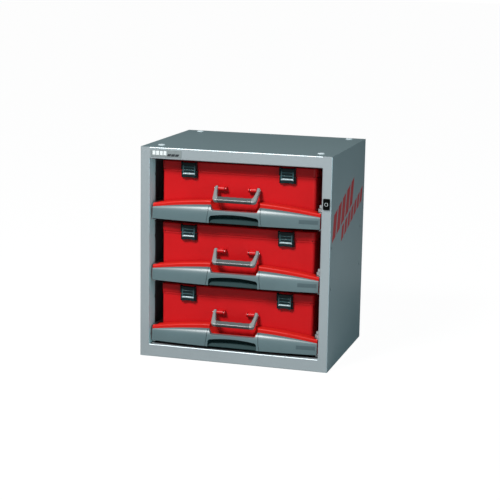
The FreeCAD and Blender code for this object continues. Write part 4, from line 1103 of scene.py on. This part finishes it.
    def _lever_part(self, centre: Vector) -> int:
        """Choose the finish of a face of a latch lever: rails and ribs are painted paler and the
        pull paler still, as painted highlights.

        Args:
            centre: the middle of the face.

        Returns:
            Its material index.
        """
        low, high = self.pull_span
        rise = centre.z / MM - self.base - self.latch_low
        proud = (front(self.latch_face) - centre.y) / MM > self.latch_relief
        # Proud faces get the painted highlights, the pull bar the brightest.
        return 2 if low < rise < high and proud else int(proud)

    def _badge_pad(self, body: str) -> None:
        """Lay a bare raised rectangle on the right-hand wing of the bumper.

        Args:
            body: the drawer's body.
        """
        skin = bmesh.new()
        skin.from_mesh(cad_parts[self.named("bumper_right")].data)
        tree = BVHTree.FromBMesh(skin)
        x0, x1, z0, z1 = self.badge
        shape = bmesh.new()
        bmesh.ops.create_grid(shape, x_segments=16, y_segments=4, size=0.5)
        for vert in shape.verts:
            x = x0 + (vert.co.x + 0.5) * (x1 - x0)
            z = self.base + z0 + (vert.co.y + 0.5) * (z1 - z0)
            hit = tree.ray_cast(spot(x, self.cast_from, z), Vector((0.0, 1.0, 0.0)))[0]
            vert.co = hit + Vector((0.0, -self.badge_proud, 0.0))
        skin.free()
        rim = bmesh.ops.extrude_face_region(shape, geom=shape.faces[:])
        back = [item for item in rim["geom"] if isinstance(item, bmesh.types.BMVert)]
        bmesh.ops.translate(shape, vec=(0.0, self.badge_depth, 0.0), verts=back)
        bmesh.ops.recalc_face_normals(shape, faces=shape.faces)
        edges = [edge for edge in shape.edges if edge.calc_face_angle(0.0) > 1.0]
        Workbench.ease(shape, edges, self.badge_edge)
        self.bench.publish(shape, self.named("badge_pad"), body, (Look.BADGE,))


# ---- studio
@dataclass
class Studio:
    """Pale floor, soft lights and the camera."""

    azimuth: float = 16.254
    elevation: float = 11.478
    roll: float = 0.977
    camera_place: Triple = (1.0737, -3.7260, 1.0523)
    lens: float = 105.9
    sensor: float = 36.0
    floor_size: float = 30.0
    floor_tone: float = 0.26
    floor_glow: float = 1.11
    floor_share: float = 0.88
    sky_colour: Triple = (0.74, 1.0, 1.06)
    sky_strength: float = 0.14

    def build(self) -> None:
        """Make the floor, the sky, the lights and the camera."""
        self._floor()
        self._sky()
        self._light("key", (-1.10, -2.90, 3.20), 1.0, 262.0)
        self._light("front", (0.60, -2.10, 0.30), 0.8, 4.0)
        self._light("fill", (3.2, -1.3, 0.5), 2.0, 58.0, (0.66, 1.0, 1.07))
        self._camera()
        bpy.context.scene.view_settings.view_transform = "Standard"

    def _floor(self) -> None:
        """Make the plain pale floor."""
        shape = bmesh.new()
        bmesh.ops.create_grid(shape, x_segments=1, y_segments=1, size=self.floor_size)
        mesh = bpy.data.meshes.new("floor")
        shape.to_mesh(mesh)
        shape.free()
        floor = bpy.data.objects.new("floor", mesh)
        material = bpy.data.materials.new("floor_white")
        material.use_nodes = True
        sheet = NodeSheet(material.node_tree)
        shader = material.node_tree.nodes["Principled BSDF"]
        shader.inputs["Base Color"].default_value = (*(self.floor_tone,) * 3, 1.0)
        shader.inputs["Roughness"].default_value = 0.9
        bright = sheet.add("Emission", Strength=self.floor_glow)
        seen = sheet.maths("MULTIPLY", sheet.add("LightPath").outputs["Is Camera Ray"],
                           self.floor_share)
        sheet.mix_shaders(seen, shader.outputs[0], bright.outputs[0],
                          material.node_tree.nodes["Material Output"].inputs["Surface"])
        mesh.materials.append(material)
        bpy.context.scene.collection.objects.link(floor)

    def _sky(self) -> None:
        """Light the scene softly from all round, and keep the background white."""
        world = bpy.data.worlds.new("studio")
        bpy.context.scene.world = world
        world.use_nodes = True
        sheet = NodeSheet(world.node_tree)
        soft = world.node_tree.nodes["Background"]
        soft.inputs["Color"].default_value = (*self.sky_colour, 1.0)
        soft.inputs["Strength"].default_value = self.sky_strength
        white = sheet.add("Background", Strength=1.0, Color=(1.0, 1.0, 1.0, 1.0))
        seen = sheet.add("LightPath").outputs["Is Camera Ray"]
        sheet.mix_shaders(seen, soft.outputs[0], white.outputs[0],
                          world.node_tree.nodes["World Output"].inputs["Surface"])

    @staticmethod
    def _light(name: str, place: Triple, size: float, power: float,
               colour: Triple = (1.0, 1.0, 1.0)) -> None:
        """Add a soft square light aimed at the cabinet.

        Args:
            name: the light's name.
            place: where it stands, in metres.
            size: its side in metres.
            power: its power in watts.
            colour: its colour.
        """
        lamp = bpy.data.lights.new(name, "AREA")
        lamp.color = colour
        lamp.shape = "SQUARE"
        lamp.size = size
        lamp.energy = power
        light = bpy.data.objects.new(name, lamp)
        light.location = place
        aim = Vector((0.0, 0.0, 0.28)) - Vector(place)
        light.rotation_euler = aim.to_track_quat("-Z", "Y").to_euler()
        bpy.context.scene.collection.objects.link(light)

    def _camera(self) -> None:
        """Place the camera."""
        azimuth, elevation, roll = (math.radians(a) for a in
                                    (self.azimuth, self.elevation, self.roll))
        back = Vector((math.sin(azimuth) * math.cos(elevation),
                       -math.cos(azimuth) * math.cos(elevation), math.sin(elevation)))
        right = Vector((0.0, 0.0, 1.0)).cross(back).normalized()
        up = back.cross(right)
        across = math.cos(roll) * right + math.sin(roll) * up
        upright = -math.sin(roll) * right + math.cos(roll) * up
        data = bpy.data.cameras.new("camera")
        data.lens = self.lens
        data.sensor_width = self.sensor
        camera = bpy.data.objects.new("camera", data)
        camera.matrix_world = (Matrix.Translation(self.camera_place)
                               @ Matrix((across, upright, back)).transposed().to_4x4())
        bpy.context.scene.collection.objects.link(camera)
        bpy.context.scene.camera = camera


def main() -> None:
    """Build the cabinet, its drawers and the studio, and report each piece."""
    logging.basicConfig(level=logging.INFO, format="%(name)s: %(message)s")
    bench = Workbench(Wardrobe())
    Cabinet(bench).build()
    for number in (1, 2, 3):
        Drawer(bench, number).build()
    for name, body in bench.pieces.items():
        LOG.info("%s rides on %s", name, body)
    Studio().build()


if __name__ == "__main__":
    main()
